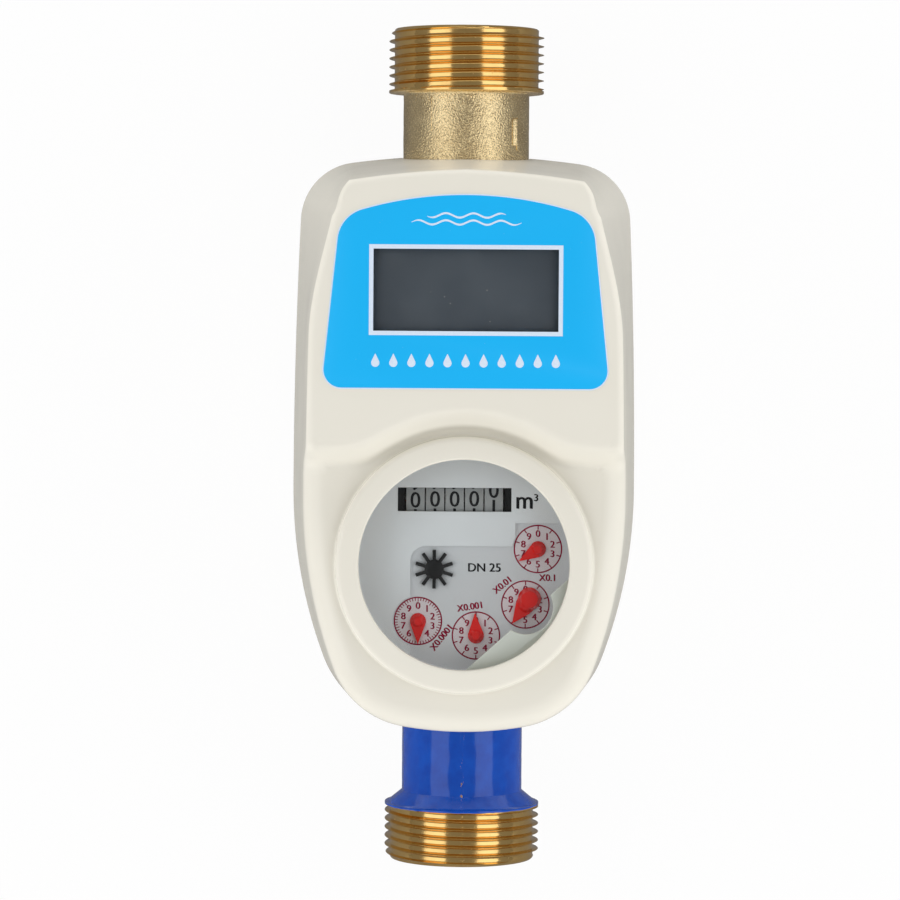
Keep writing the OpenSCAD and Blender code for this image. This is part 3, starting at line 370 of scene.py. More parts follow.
@dataclass(frozen=True)
class DialFace(Finish):
    """White dial with a few specks of dust; its lower level is greyed with painted shade, standing for the
    shade in its recess.
    """

    name: str = "dial_face"
    colour: Colour = (0.86, 0.89, 0.91)
    # Painted shade: the greyer colour of the lower level, standing for the shade in its recess.
    painted_shade: Colour = (0.74, 0.76, 0.78)
    dust: Colour = (0.60, 0.62, 0.64)
    level_mm: float = 79.6

    def surface(self, sh: Shader) -> Sock:
        """White upper level and a lower level greyed with painted shade.

        Args:
            sh: Nodes of the material.

        Returns:
            The surface.
        """
        broad = sh.grain(16).span(0.3, 0.75)
        dust = sh.cells(6.0).span(0.05, 0.02)
        # Painted shade mask: 1 on the upper level and 0 below it, where the dial is greyed as if in shade.
        upper = sh.axis("Z").span(self.level_mm - 0.4, self.level_mm + 0.4)
        colour = sh.mix(upper, self.painted_shade, self.colour)
        return sh.principled(
            {
                "Base Color": sh.mix(broad * 0.12 + dust * 0.35, colour, self.dust),
                "Roughness": 0.45 + broad * 0.1,
                "Normal": sh.bump(sh.grain(0.5), 0.15, 0.008),
            }
        )


@dataclass(frozen=True)
class Ink(Finish):
    """A printed mark, slightly uneven as pad printing is."""

    name: str
    colour: Colour
    thin: Colour

    def surface(self, sh: Shader) -> Sock:
        """Ink that covers a little more and less.

        Args:
            sh: Nodes of the material.

        Returns:
            The surface.
        """
        cover = sh.grain(0.5, 3).span(0.35, 0.75)
        return sh.principled(
            {
                "Base Color": sh.mix(cover * 0.45, self.colour, self.thin),
                "Roughness": 0.45 + cover * 0.15,
                "Specular IOR Level": 0.2,
            }
        )


@dataclass(frozen=True)
class TurnedBrass(Finish):
    """Machined brass with tool marks round the pipe axis."""

    name: str = "turned_brass"
    colour: Colour = (0.91, 0.61, 0.235)
    stain: Colour = (0.72, 0.40, 0.12)

    def metal(self, sh: Shader) -> Sockets:
        """Tool marks, stains and flecks of the metal.

        Args:
            sh: Nodes of the material.

        Returns:
            Values of the surface shader's sockets.
        """
        lines = sh.grain(0.11, at=sh.stretched((0.05, 1.0, 0.05)))
        stain = sh.grain(5.5, 4).span(0.42, 0.72)
        flecks = sh.grain(0.8, 3).span(0.66, 0.74)
        return {
            "Base Color": sh.mix(stain * 0.3 + flecks * 0.25, self.colour, self.stain),
            "Roughness": 0.1 + lines * 0.06 + stain * 0.06 + flecks * 0.15,
            "Metallic": 1.0,
            "Normal": sh.bump(lines + flecks * 0.4, 0.12, 0.006),
        }

    def surface(self, sh: Shader) -> Sock:
        """The metal alone."""
        return sh.principled(self.metal(sh))


@dataclass(frozen=True)
class CastBrass(Finish):
    """Sand-cast brass neck that turns into machined brass at its thread."""

    name: str
    machined_from_mm: float
    light: Colour = (1.0, 0.80, 0.46)
    dark: Colour = (0.40, 0.24, 0.085)

    def surface(self, sh: Shader) -> Sock:
        """Sandy skin up to the thread, tool marks beyond.

        Args:
            sh: Nodes of the material.

        Returns:
            The surface.
        """
        turned = TurnedBrass().metal(sh)
        sand = sh.grain(0.4, 2, 0.6)
        pits = sh.cells(0.7).span(0.6, 0.15)
        shade = sand.span(0.5, 0.34) * 0.4 + sh.grain(7, 3).span(0.35, 0.7) * 0.22
        cast = sh.mix(shade, self.light, self.dark)
        bare = sh.axis("Y").span(self.machined_from_mm - 0.12, self.machined_from_mm + 0.12)
        rough = (0.18 + sand * 0.14) * (1 - bare) + turned["Roughness"] * bare
        bumps = {4: sh.bump(sand * 1.2 + pits * 0.4, 0.9, 0.13), 5: turned["Normal"]}
        return sh.principled(
            {
                "Base Color": sh.mix(bare, cast, turned["Base Color"]),
                "Roughness": rough,
                "Metallic": 1.0,
                "Normal": sh.node("ShaderNodeMix", {"data_type": "VECTOR"}, {0: bare, **bumps}, 1),
            }
        )


@dataclass(frozen=True)
class PaintedCasting(Finish):
    """Blue paint over a brass casting, left bare on the thread, chipped along the parting line."""

    name: str
    bare_to_mm: float
    paint: Colour = (0.003, 0.068, 0.430)
    deep: Colour = (0.002, 0.046, 0.335)

    def surface(self, sh: Shader) -> Sock:
        """Paint with runs, an uneven edge at the thread and chips along the seam.

        Args:
            sh: Nodes of the material.

        Returns:
            The surface.
        """
        turned = TurnedBrass().metal(sh)
        runs = sh.grain(4.5, 3)
        peel = sh.grain(1.1, 3, 0.6)
        edge = sh.axis("Y") + (sh.grain(3.2) - 0.5) * 0.5
        covered = edge.span(self.bare_to_mm - 0.1, self.bare_to_mm + 0.1)
        seam = abs(sh.axis("X") + (sh.grain(1.5) - 0.5) * 0.7).span(0.55, 0.12)
        chips = seam * sh.grain(0.9, 3, at=sh.stretched((1.0, 0.45, 1.0))).span(0.6, 0.68)
        blobs = seam * sh.grain(0.7).span(0.4, 0.65)
        paint = covered * (1 - chips * sh.axis("Z").span(48, 50))
        colour = sh.mix(runs.span(0.3, 0.75) * 0.8 + peel * 0.15, self.paint, self.deep)
        return sh.principled(
            {
                "Base Color": sh.mix(paint, turned["Base Color"], colour),
                "Roughness": (0.09 + runs * 0.1) * paint + turned["Roughness"] * (1 - paint),
                "Metallic": 1 - paint,
                "Coat Weight": paint * 0.4,
                "Coat Roughness": 0.06,
                "Specular IOR Level": 0.3,
                "Normal": sh.bump(peel * 0.4 + runs * 0.6 + blobs * 1.6 + paint * 1.2, 0.3, 0.12),
            }
        )


@dataclass(frozen=True)
class DisplayGlass(Finish):
    """Dark display glass with fine scratches and specks of dust."""

    name: str = "display_glass"
    colour: Colour = (0.078, 0.094, 0.113)
    pale: Colour = (0.094, 0.112, 0.132)
    dust: Colour = (0.42, 0.44, 0.42)

    def surface(self, sh: Shader) -> Sock:
        """Cloudy dark glass under dust and scratches.

        Args:
            sh: Nodes of the material.

        Returns:
            The surface.
        """
        cloud = sh.grain(14).span(0.3, 0.75)
        dust = sh.cells(4.2).span(0.05, 0.028)
        scratch = sh.cells(6.5, sh.stretched((1.0, 0.16, 1.0))).span(0.028, 0.012)
        colour = sh.mix(cloud, self.colour, self.pale)
        return sh.principled(
            {
                "Base Color": sh.mix((dust * 0.30).most(scratch * 0.22), colour, self.dust),
                "Roughness": 0.16 + cloud * 0.08 + dust * 0.3,
                "Specular IOR Level": 0.4,
            }
        )


@dataclass(frozen=True)
class ClearPane(Finish):
    """Clear pane that lets light through and mirrors at a slant."""

    name: str
    tint: Colour
    mirror: Colour = (0.9, 0.93, 0.93)
    ior: float = 1.42

    def surface(self, sh: Shader) -> Sock:
        """See-through, with a smeared mirror over it.

        Args:
            sh: Nodes of the material.

        Returns:
            The surface.
        """
        through = sh.node("ShaderNodeBsdfTransparent", None, {"Color": (*self.tint, 1.0)})
        smear = sh.grain(11, 3).span(0.4, 0.8)
        mirror = sh.principled(
            {"Base Color": (*self.mirror, 1.0), "Roughness": 0.02 + smear * 0.05, "Metallic": 1.0}
        )
        share = sh.node("ShaderNodeFresnel", None, {"IOR": self.ior}) * (0.38 + smear * 0.1)
        return sh.node("ShaderNodeMixShader", None, {0: share, 1: through, 2: mirror})


@dataclass(frozen=True)
class Steel(Finish):
    """Plated or ground steel."""

    name: str = "plated_steel"
    colour: Colour = (0.62, 0.62, 0.60)
    stain: Colour = (0.42, 0.41, 0.38)

    def surface(self, sh: Shader) -> Sock:
        """Fine grinding lines and a few stains.

        Args:
            sh: Nodes of the material.

        Returns:
            The surface.
        """
        fine = sh.grain(0.12, at=sh.stretched((1.0, 1.0, 0.15)))
        stain = sh.grain(6, 3).span(0.45, 0.8)
        return sh.principled(
            {
                "Base Color": sh.mix(stain * 0.4, self.colour, self.stain),
                "Roughness": 0.24 + fine * 0.12 + stain * 0.1,
                "Metallic": 1.0,
                "Normal": sh.bump(fine, 0.2, 0.006),
            }
        )


class Look(Enum):
    """Finishes that more than one piece shares."""

    CREAM = Moulded("cream_shell", (0.765, 0.738, 0.658), (0.743, 0.712, 0.625), 0.2, 0.06, 0.24)
    WHITE = Moulded("white_moulding", (0.80, 0.81, 0.81), (0.74, 0.75, 0.75), 0.42)
    GREY = Moulded("grey_moulding", (0.40, 0.42, 0.43), (0.34, 0.36, 0.37), 0.45)
    BLACK = Moulded("black_moulding", (0.008, 0.008, 0.009), (0.014, 0.014, 0.014), 0.35)
    RUBBER = Moulded("black_rubber", (0.016, 0.016, 0.016), (0.028, 0.027, 0.026), 0.7)
    RED = Moulded("red_moulding", (0.88, 0.014, 0.010), (0.80, 0.010, 0.008), 0.2, 0.2)
    SKY = Moulded("impeller_plastic", (0.22, 0.36, 0.70), (0.17, 0.29, 0.60), 0.4)
    GREEN = Moulded("solder_mask", (0.020, 0.150, 0.060), (0.012, 0.105, 0.045), 0.3)
    CELL = Moulded("cell_film", (0.52, 0.34, 0.05), (0.44, 0.28, 0.04), 0.3)
    DIAL = DialFace()
    DRUM = Moulded("drum_plastic", (0.40, 0.41, 0.41), (0.30, 0.31, 0.31), 0.4)
    PALE = Moulded("sensor_plastic", (0.60, 0.64, 0.585), (0.53, 0.575, 0.52), 0.35)
    BLUE_FILM = Film("label_film", (0.003, 0.440, 0.885), (0.002, 0.425, 0.860))
    WHITE_INK = Ink("white_print", (0.66, 0.75, 0.87), (0.56, 0.67, 0.83))
    BLACK_INK = Ink("black_print", (0.008, 0.008, 0.010), (0.02, 0.02, 0.024))
    RED_INK = Ink("crimson_print", (0.30, 0.002, 0.035), (0.36, 0.008, 0.055))
    PINK_INK = Ink("pink_tint", (0.80, 0.72, 0.745), (0.83, 0.77, 0.79))
    BRASS = TurnedBrass()
    STEEL = Steel()
    LCD = DisplayGlass()
    LENS = ClearPane("clear_window", (0.99, 0.99, 0.99))
    GLASS = ClearPane("dial_glass_pane", (0.985, 0.992, 0.992))

    def material(self) -> bpy.types.Material:
        """The finish's material, built once."""
        found = bpy.data.materials.get(self.value.name)
        return found or self.value.material()


class Form:
    """A mesh in millimetres, shaped with bmesh operators and then made a piece."""

    def __init__(self) -> None:
        """Start empty."""
        self.bm = bmesh.new()

    @classmethod
    def of_node(cls, node: bpy.types.Object) -> "Form":
        """Start from a merged copy of a solid's mesh.

        Args:
            node: The solid.

        Returns:
            The form, in millimetres.
        """
        form = cls()
        form.bm.from_mesh(node.data)
        bmesh.ops.scale(form.bm, vec=(1 / MM,) * 3, verts=form.bm.verts)
        bmesh.ops.remove_doubles(form.bm, verts=form.bm.verts, dist=0.002)
        bmesh.ops.dissolve_degenerate(form.bm, dist=0.001, edges=form.bm.edges[:])
        return form

    def soften(self, width: float, sharp_deg: float = 35.0, segments: int = 2) -> "Form":
        """Bevel the sharp edges.

        Args:
            width: Width of the bevel.
            sharp_deg: Edges that turn more than this are bevelled.
            segments: Faces across the bevel.

        Returns:
            The same form.
        """
        flat = math.radians(0.8)
        bmesh.ops.dissolve_limit(self.bm, angle_limit=flat, verts=self.bm.verts[:], edges=self.bm.edges[:])
        sharp = [e for e in self.bm.edges if e.is_manifold and e.calc_face_angle(0) > math.radians(sharp_deg)]
        bmesh.ops.bevel(
            self.bm,
            geom=sharp,
            offset=width,
            affect="EDGES",
            segments=segments,
            profile=0.5,
            material=-1,
            clamp_overlap=True,
        )
        return self

    def outward(self) -> "Form":
        """Turn every face outward."""
        bmesh.ops.recalc_face_normals(self.bm, faces=self.bm.faces)
        return self

    def start_ring(self, points: Iterable[Vector]) -> Ring:
        """Closed loop of vertices and edges.

        Args:
            points: Place of each vertex.

        Returns:
            The vertices, in order.
        """
        ring = [self.bm.verts.new(p) for p in points]
        for a, b in zip(ring, ring[1:] + ring[:1]):
            self.bm.edges.new((a, b))
        return ring

    def ring_edges(self, ring: Ring) -> list[bmesh.types.BMEdge]:
        """Edges of a closed loop of vertices."""
        return [self.bm.edges.get((a, b)) for a, b in zip(ring, ring[1:] + ring[:1])]

    def next_ring(self, ring: Ring, points: Iterable[Vector]) -> Ring:
        """Extrude a loop and move the new one.

        Args:
            ring: Vertices of the loop.
            points: Place of each new vertex.

        Returns:
            The new vertices, in the same order.
        """
        made = bmesh.ops.extrude_edge_only(self.bm, edges=self.ring_edges(ring))
        fresh = {g for g in made["geom"] if isinstance(g, bmesh.types.BMVert)}
        following = []
        for v, p in zip(ring, points):
            new = next(e.other_vert(v) for e in v.link_edges if e.other_vert(v) in fresh)
            new.co = p
            following.append(new)
        return following

    def join_rings(self, a: Ring, b: Ring) -> None:
        """Close the gap between two loops."""
        bmesh.ops.bridge_loops(self.bm, edges=self.ring_edges(a) + self.ring_edges(b))

    def lathe(self, outline: Sequence[Point], centre: Vector, segments: int) -> None:
        """Turn a closed outline round an upright axis.

        Args:
            outline: Closed section of (radius, height) points.
            centre: A point on the axis, at height 0 of the outline.
            segments: Steps round the axis.
        """
        ring = self.start_ring(centre + Vector((r, 0, h)) for r, h in outline)
        bmesh.ops.spin(
            self.bm,
            geom=ring + self.ring_edges(ring),
            cent=centre,
            axis=(0, 0, 1),
            angle=2 * math.pi,
            steps=segments,
            use_merge=True,
            use_duplicate=False,
        )

    def bar(self, size: Sequence[float], place: Matrix) -> None:
        """Box of a size, centred in a place."""
        bmesh.ops.create_cube(self.bm, size=1.0, matrix=place @ Matrix.Diagonal((*size, 1.0)))

    def letters(
        self,
        text: str,
        height: float,
        place: Matrix,
        thick: float,
        wide: float = 1.0,
        strike: float = 0.18,
        skin: int = 0,
        bend_r: float = 0.0,
        bend_cuts: int = 12,
    ) -> None:
        """Add printed characters.

        Args:
            text: The characters.
            height: Height of the tallest one.
            place: Their middle and turn; they read along its X and rise along its Y.
            thick: Thickness of the print.
            wide: Stretch of the width.
            strike: Shift between the two strikes of the type, which thickens its strokes.
            skin: Material index of the ink.
            bend_r: Radius of the drum that they lie round, or 0 on a flat face.
            bend_cuts: Strips that they are cut into for the bend.
        """
        curve = bpy.data.curves.new("characters", "FONT")
        curve.body, curve.align_x, curve.align_y, curve.resolution_u = text, "CENTER", "CENTER", 4
        curve.extrude = 0.01
        holder = bpy.data.objects.new("characters", curve)
        bpy.context.scene.collection.objects.link(holder)
        depsgraph = bpy.context.evaluated_depsgraph_get()
        mesh = bpy.data.meshes.new_from_object(holder.evaluated_get(depsgraph))
        bpy.data.objects.remove(holder)
        part = bmesh.new()
        part.from_mesh(mesh)
        bmesh.ops.remove_doubles(part, verts=part.verts, dist=1e-5)
        low = Vector(map(min, zip(*(v.co for v in part.verts))))
        high = Vector(map(max, zip(*(v.co for v in part.verts))))
        scale = height / (high.y - low.y)
        bmesh.ops.translate(part, vec=-(low + high) / 2, verts=part.verts)
        bmesh.ops.scale(part, vec=(scale * wide, scale, thick / (high.z - low.z)), verts=part.verts)
        twin = bmesh.ops.duplicate(part, geom=part.faces[:])["geom"]
        struck = [v for v in twin if isinstance(v, bmesh.types.BMVert)]
        bmesh.ops.translate(part, vec=(strike / 2, 0, 0), verts=part.verts)
        bmesh.ops.translate(part, vec=(-strike, strike / 3, thick / 8), verts=struck)
        if bend_r:
            for i in range(1, bend_cuts):
                slice_across(part, height * (i / bend_cuts - 0.5))
            for v in part.verts:
                turn, r = v.co.y / bend_r, bend_r + v.co.z
                v.co = Vector((v.co.x, r * math.sin(turn), r * math.cos(turn) - bend_r))
        bmesh.ops.transform(part, matrix=place, verts=part.verts)
        for face in part.faces:
            face.material_index = skin
        part.to_mesh(mesh)
        part.free()
        self.bm.from_mesh(mesh)
        bpy.data.meshes.remove(mesh)
        bpy.data.curves.remove(curve)

    def object(self, name: str, sharp_deg: float = 32.0) -> bpy.types.Object:
        """Make the mesh an object, smooth apart from its sharp edges.

        Args:
            name: Name of the object.
            sharp_deg: Edges that turn more than this stay sharp.

        Returns:
            The object.
        """
        limit = math.radians(sharp_deg)
        for face in self.bm.faces:
            face.smooth = True
        for edge in self.bm.edges:
            edge.smooth = len(edge.link_faces) == 2 and edge.calc_face_angle(0) < limit
        bmesh.ops.scale(self.bm, vec=(MM,) * 3, verts=self.bm.verts)
        mesh = bpy.data.meshes.new(name)
        self.bm.to_mesh(mesh)
        self.bm.free()
        made = bpy.data.objects.new(name, mesh)
        bpy.context.scene.collection.objects.link(made)
        return made


@dataclass(frozen=True)
class Place:
    """Where a piece belongs: its body and the solids it stands for, with a slot name that nothing reads."""

    slot: str
    nodes: tuple[str, ...] = ()
    body: str = BODY


def settle(
    form: Form, name: str, looks: Sequence[Look | Finish], place: Place, sharp_deg: float = 32.0
) -> None:
    """Make a form a piece, dress it and tie it to its body.

    Args:
        form: The finished form.
        name: Name of the piece.
        looks: Its finishes, by material index.
        place: Its body and solids; its slot is not used.
        sharp_deg: Edges that turn more than this stay sharp.
    """
    made = form.object(name, sharp_deg)
    for look in looks:
        made.data.materials.append(look.material())
    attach(made, place.body)
    if place.nodes:
        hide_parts(*place.nodes)
    LOG.info("%s: %d faces on %s", name, len(made.data.polygons), place.body)


def dress(nodes: Nodes, name: str, look: Look, place: Place, bevel: float, steps: int = 2) -> None:
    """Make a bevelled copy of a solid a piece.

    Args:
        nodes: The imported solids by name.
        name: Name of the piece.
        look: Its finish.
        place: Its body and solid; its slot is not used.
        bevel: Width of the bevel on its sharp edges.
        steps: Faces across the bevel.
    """
    solid = nodes[place.nodes[0]]
    settle(Form.of_node(solid).soften(bevel, segments=steps), name, [look], place)


@dataclass
class CaseOutline:
    """Plan outline of the casing: a chain of tangent arcs, with the dial's place."""

    half_w: float = 46.3
    valve_end_y: float = 78.4
    meter_end_y: float = 77.0
    widest_y: float = 11.7
    end_arc_r: float = 230.0
    end_corner_r: float = 16.0
    upper_side_r: float = 1600.0
    lower_side_r: float = 131.0
    foot_corner_r: float = 28.0
    foot_arc_r: float = 95.0
    axis_h: float = 36.0
    dial: Vector = field(default_factory=lambda: Vector((0.0, -28.65)))
    step: float = 1.5

    @staticmethod
    def meet(c1: Vector, r1: float, c2: Vector, r2: float, side: int) -> Vector:
        """Point at given distances from two centres.

        Args:
            c1: First centre.
            r1: Distance from it.
            c2: Second centre.
            r2: Distance from it.
            side: 1 for the left of the line from c1 to c2, -1 for the right.

        Returns:
            The point.
        """
        e = (c2 - c1).normalized()
        d = (c2 - c1).length
        along = (r1 * r1 - r2 * r2 + d * d) / (2 * d)
        across = math.sqrt(r1 * r1 - along * along)
        return c1 + along * e + side * across * Vector((-e.y, e.x))

    def stations(self) -> list[Station]:
        """Stations round the outline.

        Returns:
            Centre, radius and direction of each station, clockwise from the valve end.
        """
        top = Vector((0, self.valve_end_y - self.end_arc_r))
        upper = Vector((self.half_w - self.upper_side_r, -self.widest_y))
        lower = Vector((self.half_w - self.lower_side_r, -self.widest_y))
        foot = Vector((0, self.foot_arc_r - self.meter_end_y))
        r_end, r_foot = self.end_corner_r, self.foot_corner_r
        head = self.meet(top, self.end_arc_r - r_end, upper, self.upper_side_r - r_end, -1)
        heel = self.meet(foot, self.foot_arc_r - r_foot, lower, self.lower_side_r - r_foot, 1)
        chain = [
            (top, self.end_arc_r, math.pi / 2, turn_of(head - top)),
            (head, r_end, turn_of(head - top), turn_of(head - upper)),
            (upper, self.upper_side_r, turn_of(head - upper), 0.0),
            (lower, self.lower_side_r, 0.0, turn_of(heel - lower)),
            (heel, r_foot, turn_of(heel - lower), turn_of(heel - foot)),
            (foot, self.foot_arc_r, turn_of(heel - foot), -math.pi / 2),
        ]
        right = []
        for centre, radius, start, end in chain:
            count = max(4, math.ceil(abs(end - start) * radius / self.step))
            right += [(centre, radius, unit(start + (end - start) * i / count)) for i in range(count)]
        flipped = [(Vector((-c.x, c.y)), r, Vector((-d.x, d.y))) for c, r, d in reversed(right[1:])]
        return right + [(foot, self.foot_arc_r, Vector((0, -1)))] + flipped


@dataclass
class FrontCover:
    """Cream front shell: display face, lower deck, the slope between them and the collar of the dial."""

    plan: CaseOutline = field(default_factory=CaseOutline)
    wall: float = 2.4
    draft: float = math.radians(5.2)
    face_z: float = 99.0
    deck_z: float = 90.4
    face_edge_r: float = 2.0
    deck_edge_r: float = 6.0
    slope_run: float = 7.0
    slope_blend: float = 3.0
    slope_y: float = -4.45
    side_lean: float = 6.7
    lean_from: float = 30.0
    collar_r: float = 33.2
    dial_r: float = 27.15
    collar_z: float = 93.6
    collar_edge: float = 1.5
    collar_foot: float = 0.7
    rim_edge: float = 0.35
    wall_steps: int = 4
    shoulder_steps: int = 9
    deck_steps: int = 60
    under_steps: int = 14
    deck_spread: float = 1.7
    valve_hole_r: float = 17.3
    meter_hole_r: float = 16.6
    hole_l: float = 36.0
    cut_over: float = 3.0
    window_cut: float = 12.0
    slope_clear: float = 0.3
    shoulder_clear: float = 0.6
    least_r: float = 0.5
    inner_steps: int = 5
    collar_steps: tuple[int, int, int] = (4, 7, 5)

    def inset(self, s: Station, d: float) -> Vector:
        """Plan point of a station, moved in by d."""
        return s[0] + (s[1] - d) * s[2]

    def rise(self, p: Vector) -> float:
        """How far the upper skin has risen.

        Args:
            p: A plan point.

        Returns:
            0 on the deck, 1 on the display face.
        """
        above = p.y - self.slope_y
        outside = (p - self.plan.dial).length - self.collar_r - self.slope_clear
        far = (above + outside - math.hypot(above - outside, self.slope_blend)) / 2
        return ease(far / self.slope_run)

    def top(self, p: Vector) -> float:
        """Height of the upper skin."""
        return self.deck_z + (self.face_z - self.deck_z) * self.rise(p)

    def lean(self, s: Station) -> float:
        """Extra inward lean of the side walls towards the valve end.

        Args:
            s: The station: centre, radius and direction.

        Returns:
            How far in the wall's top stands.
        """
        share = (self.inset(s, 0).y - self.lean_from) / (self.plan.valve_end_y - self.lean_from)
        return self.side_lean * ease(share) * abs(s[2].x)

    def shoulder(self, s: Station, off: float, steps: int) -> list[Vector]:
        """Rounded shoulder of one station.

        Args:
            s: The station: centre, radius and direction.
            off: How far the skin lies behind the outside.
            steps: Chords of the rounding.

        Returns:
            Points from the wall to the top.
        """
        share = self.rise(self.inset(s, self.deck_edge_r + self.wall))
        full = self.deck_edge_r + (self.face_edge_r - self.deck_edge_r) * share
        wall_d = math.tan(self.draft) * (self.deck_z - self.plan.axis_h - self.deck_edge_r)
        room = (self.inset(s, wall_d) - self.plan.dial).length - self.collar_r - self.shoulder_clear
        full = min(full, room)
        r = max(full - off, self.least_r)
        top = self.top(self.inset(s, math.tan(self.draft) * (self.face_z - self.plan.axis_h) + full))
        rise = top - off - r * (1 - math.sin(self.draft)) - self.plan.axis_h
        c = math.tan(self.draft) * rise + self.lean(s) + off + r * math.cos(self.draft)
        found = []
        for i in range(steps + 1):
            a = self.draft + (math.pi / 2 - self.draft) * i / steps
            p = self.inset(s, c - r * math.cos(a))
            found.append(Vector((p.x, p.y, self.top(p) - off - r * (1 - math.sin(a)))))
        return found

    def deck(self, start: Vector, inner: float, off: float, steps: int) -> list[Vector]:
        """Deck of one station, from its shoulder in towards the dial.

        Args:
            start: End of the shoulder.
            inner: Radius about the dial where the deck ends.
            off: How far the skin lies behind the outside.
            steps: Number of points.

        Returns:
            Points from the shoulder inwards.
        """
        v = start.xy - self.plan.dial
        found = []
        for i in range(steps - 1, -1, -1):
            reach = inner + (v.length - inner) * (i / steps) ** self.deck_spread
            p = self.plan.dial + v.normalized() * reach
            found.append(Vector((p.x, p.y, self.top(p) - off)))
        return found

    def collar(self, start: Vector) -> list[Vector]:
        """Collar of one station, from its foot over the top and down into the opening.

        Args:
            start: End of the station's shoulder, which gives the direction.

        Returns:
            Points from the collar's foot to its underside.
        """
        e = (start.xy - self.plan.dial).normalized()
        f, ce = self.collar_foot, self.collar_edge
        foot, edge, lip = self.collar_steps
        outline = arc((self.collar_r + f, self.deck_z + f), f, 270, 180, foot)[1:]
        outline += arc((self.collar_r - ce, self.collar_z - ce), ce, 0, 90, edge)
        outline += arc((self.dial_r + ce / 2, self.collar_z - ce / 2), ce / 2, 90, 180, lip)
        under = self.collar_z - self.wall
        outline += [(self.dial_r, under), (self.collar_r - self.wall, under)]
        dial = self.plan.dial
        return [Vector((dial.x + e.x * r, dial.y + e.y * r, z)) for r, z in outline]

    def section(self, s: Station) -> list[Vector]:
        """Closed section of one station, up the outside, over the top and back along the inside.

        Args:
            s: The station: centre, radius and direction.

        Returns:
            Points of the section.
        """
        out = self.shoulder(s, 0.0, self.shoulder_steps)
        inn = self.shoulder(s, self.wall, self.inner_steps)
        low, e = self.plan.axis_h, self.rim_edge
        foot, rim, heel = self.inset(s, e), self.inset(s, 0), self.inset(s, self.wall)
        base = Vector((rim.x, rim.y, low + e))
        found = [Vector((foot.x, foot.y, low)), base]
        found += [base.lerp(out[0], i / self.wall_steps) for i in range(1, self.wall_steps)]
        found += out
        found += self.deck(out[-1], self.collar_r + self.collar_foot, 0.0, self.deck_steps)
        found += self.collar(out[-1])
        found += reversed(self.deck(inn[-1], self.collar_r - self.wall, self.wall, self.under_steps))
        found += reversed(inn)
        return found + [Vector((heel.x, heel.y, low))]

    def shell(self) -> Form:
        """Closed shell without its openings.

        Returns:
            The shell.
        """
        sections = [self.section(s) for s in self.plan.stations()]
        loops = list(zip(*sections))
        form = Form()
        first = ring = form.start_ring(loops[0])
        for points in loops[1:]:
            ring = form.next_ring(ring, points)
        form.join_rings(ring, first)
        return form.outward()

    def build(self, panel: "DisplayPanel") -> None:
        """Cut the openings into the shell and dress it.

        Args:
            panel: The display panel, which gives the recess and the window.
        """
        shell = self.shell().object("front_shell")
        tools = Form()
        panel.prism(tools, panel.outline(0.0), panel.floor_z, self.face_z + self.cut_over)
        lens = (panel.window_w + 2 * panel.lens_lap, panel.window_l + 2 * panel.lens_lap, self.window_cut)
        tools.bar(lens, Matrix.Translation((0, panel.window_y, self.face_z - 1)))
        plan = self.plan
        for radius, y in ((self.valve_hole_r, plan.valve_end_y), (self.meter_hole_r, -plan.meter_end_y)):
            bmesh.ops.create_cone(
                tools.bm,
                cap_ends=True,
                segments=96,
                radius1=radius,
                radius2=radius,
                depth=self.hole_l,
                matrix=Matrix.Translation((0, y, plan.axis_h)) @ Matrix.Rotation(math.pi / 2, 4, "X"),
            )
        cutter = tools.outward().object("cutter")
        cut = shell.modifiers.new("openings", "BOOLEAN")
        cut.object, cut.operation, cut.solver = cutter, "DIFFERENCE", "EXACT"
        depsgraph = bpy.context.evaluated_depsgraph_get()
        mesh = bpy.data.meshes.new_from_object(shell.evaluated_get(depsgraph))
        for spent in (cutter, shell):
            bpy.data.objects.remove(spent)
        form = Form()
        form.bm.from_mesh(mesh)
        bmesh.ops.scale(form.bm, vec=(1 / MM,) * 3, verts=form.bm.verts)
        for face in form.bm.faces:
            face.material_index = 0
        settle(form, "front_cover_shell", [Look.CREAM], Place("cream_plastic", ("front_cover",)), 38)


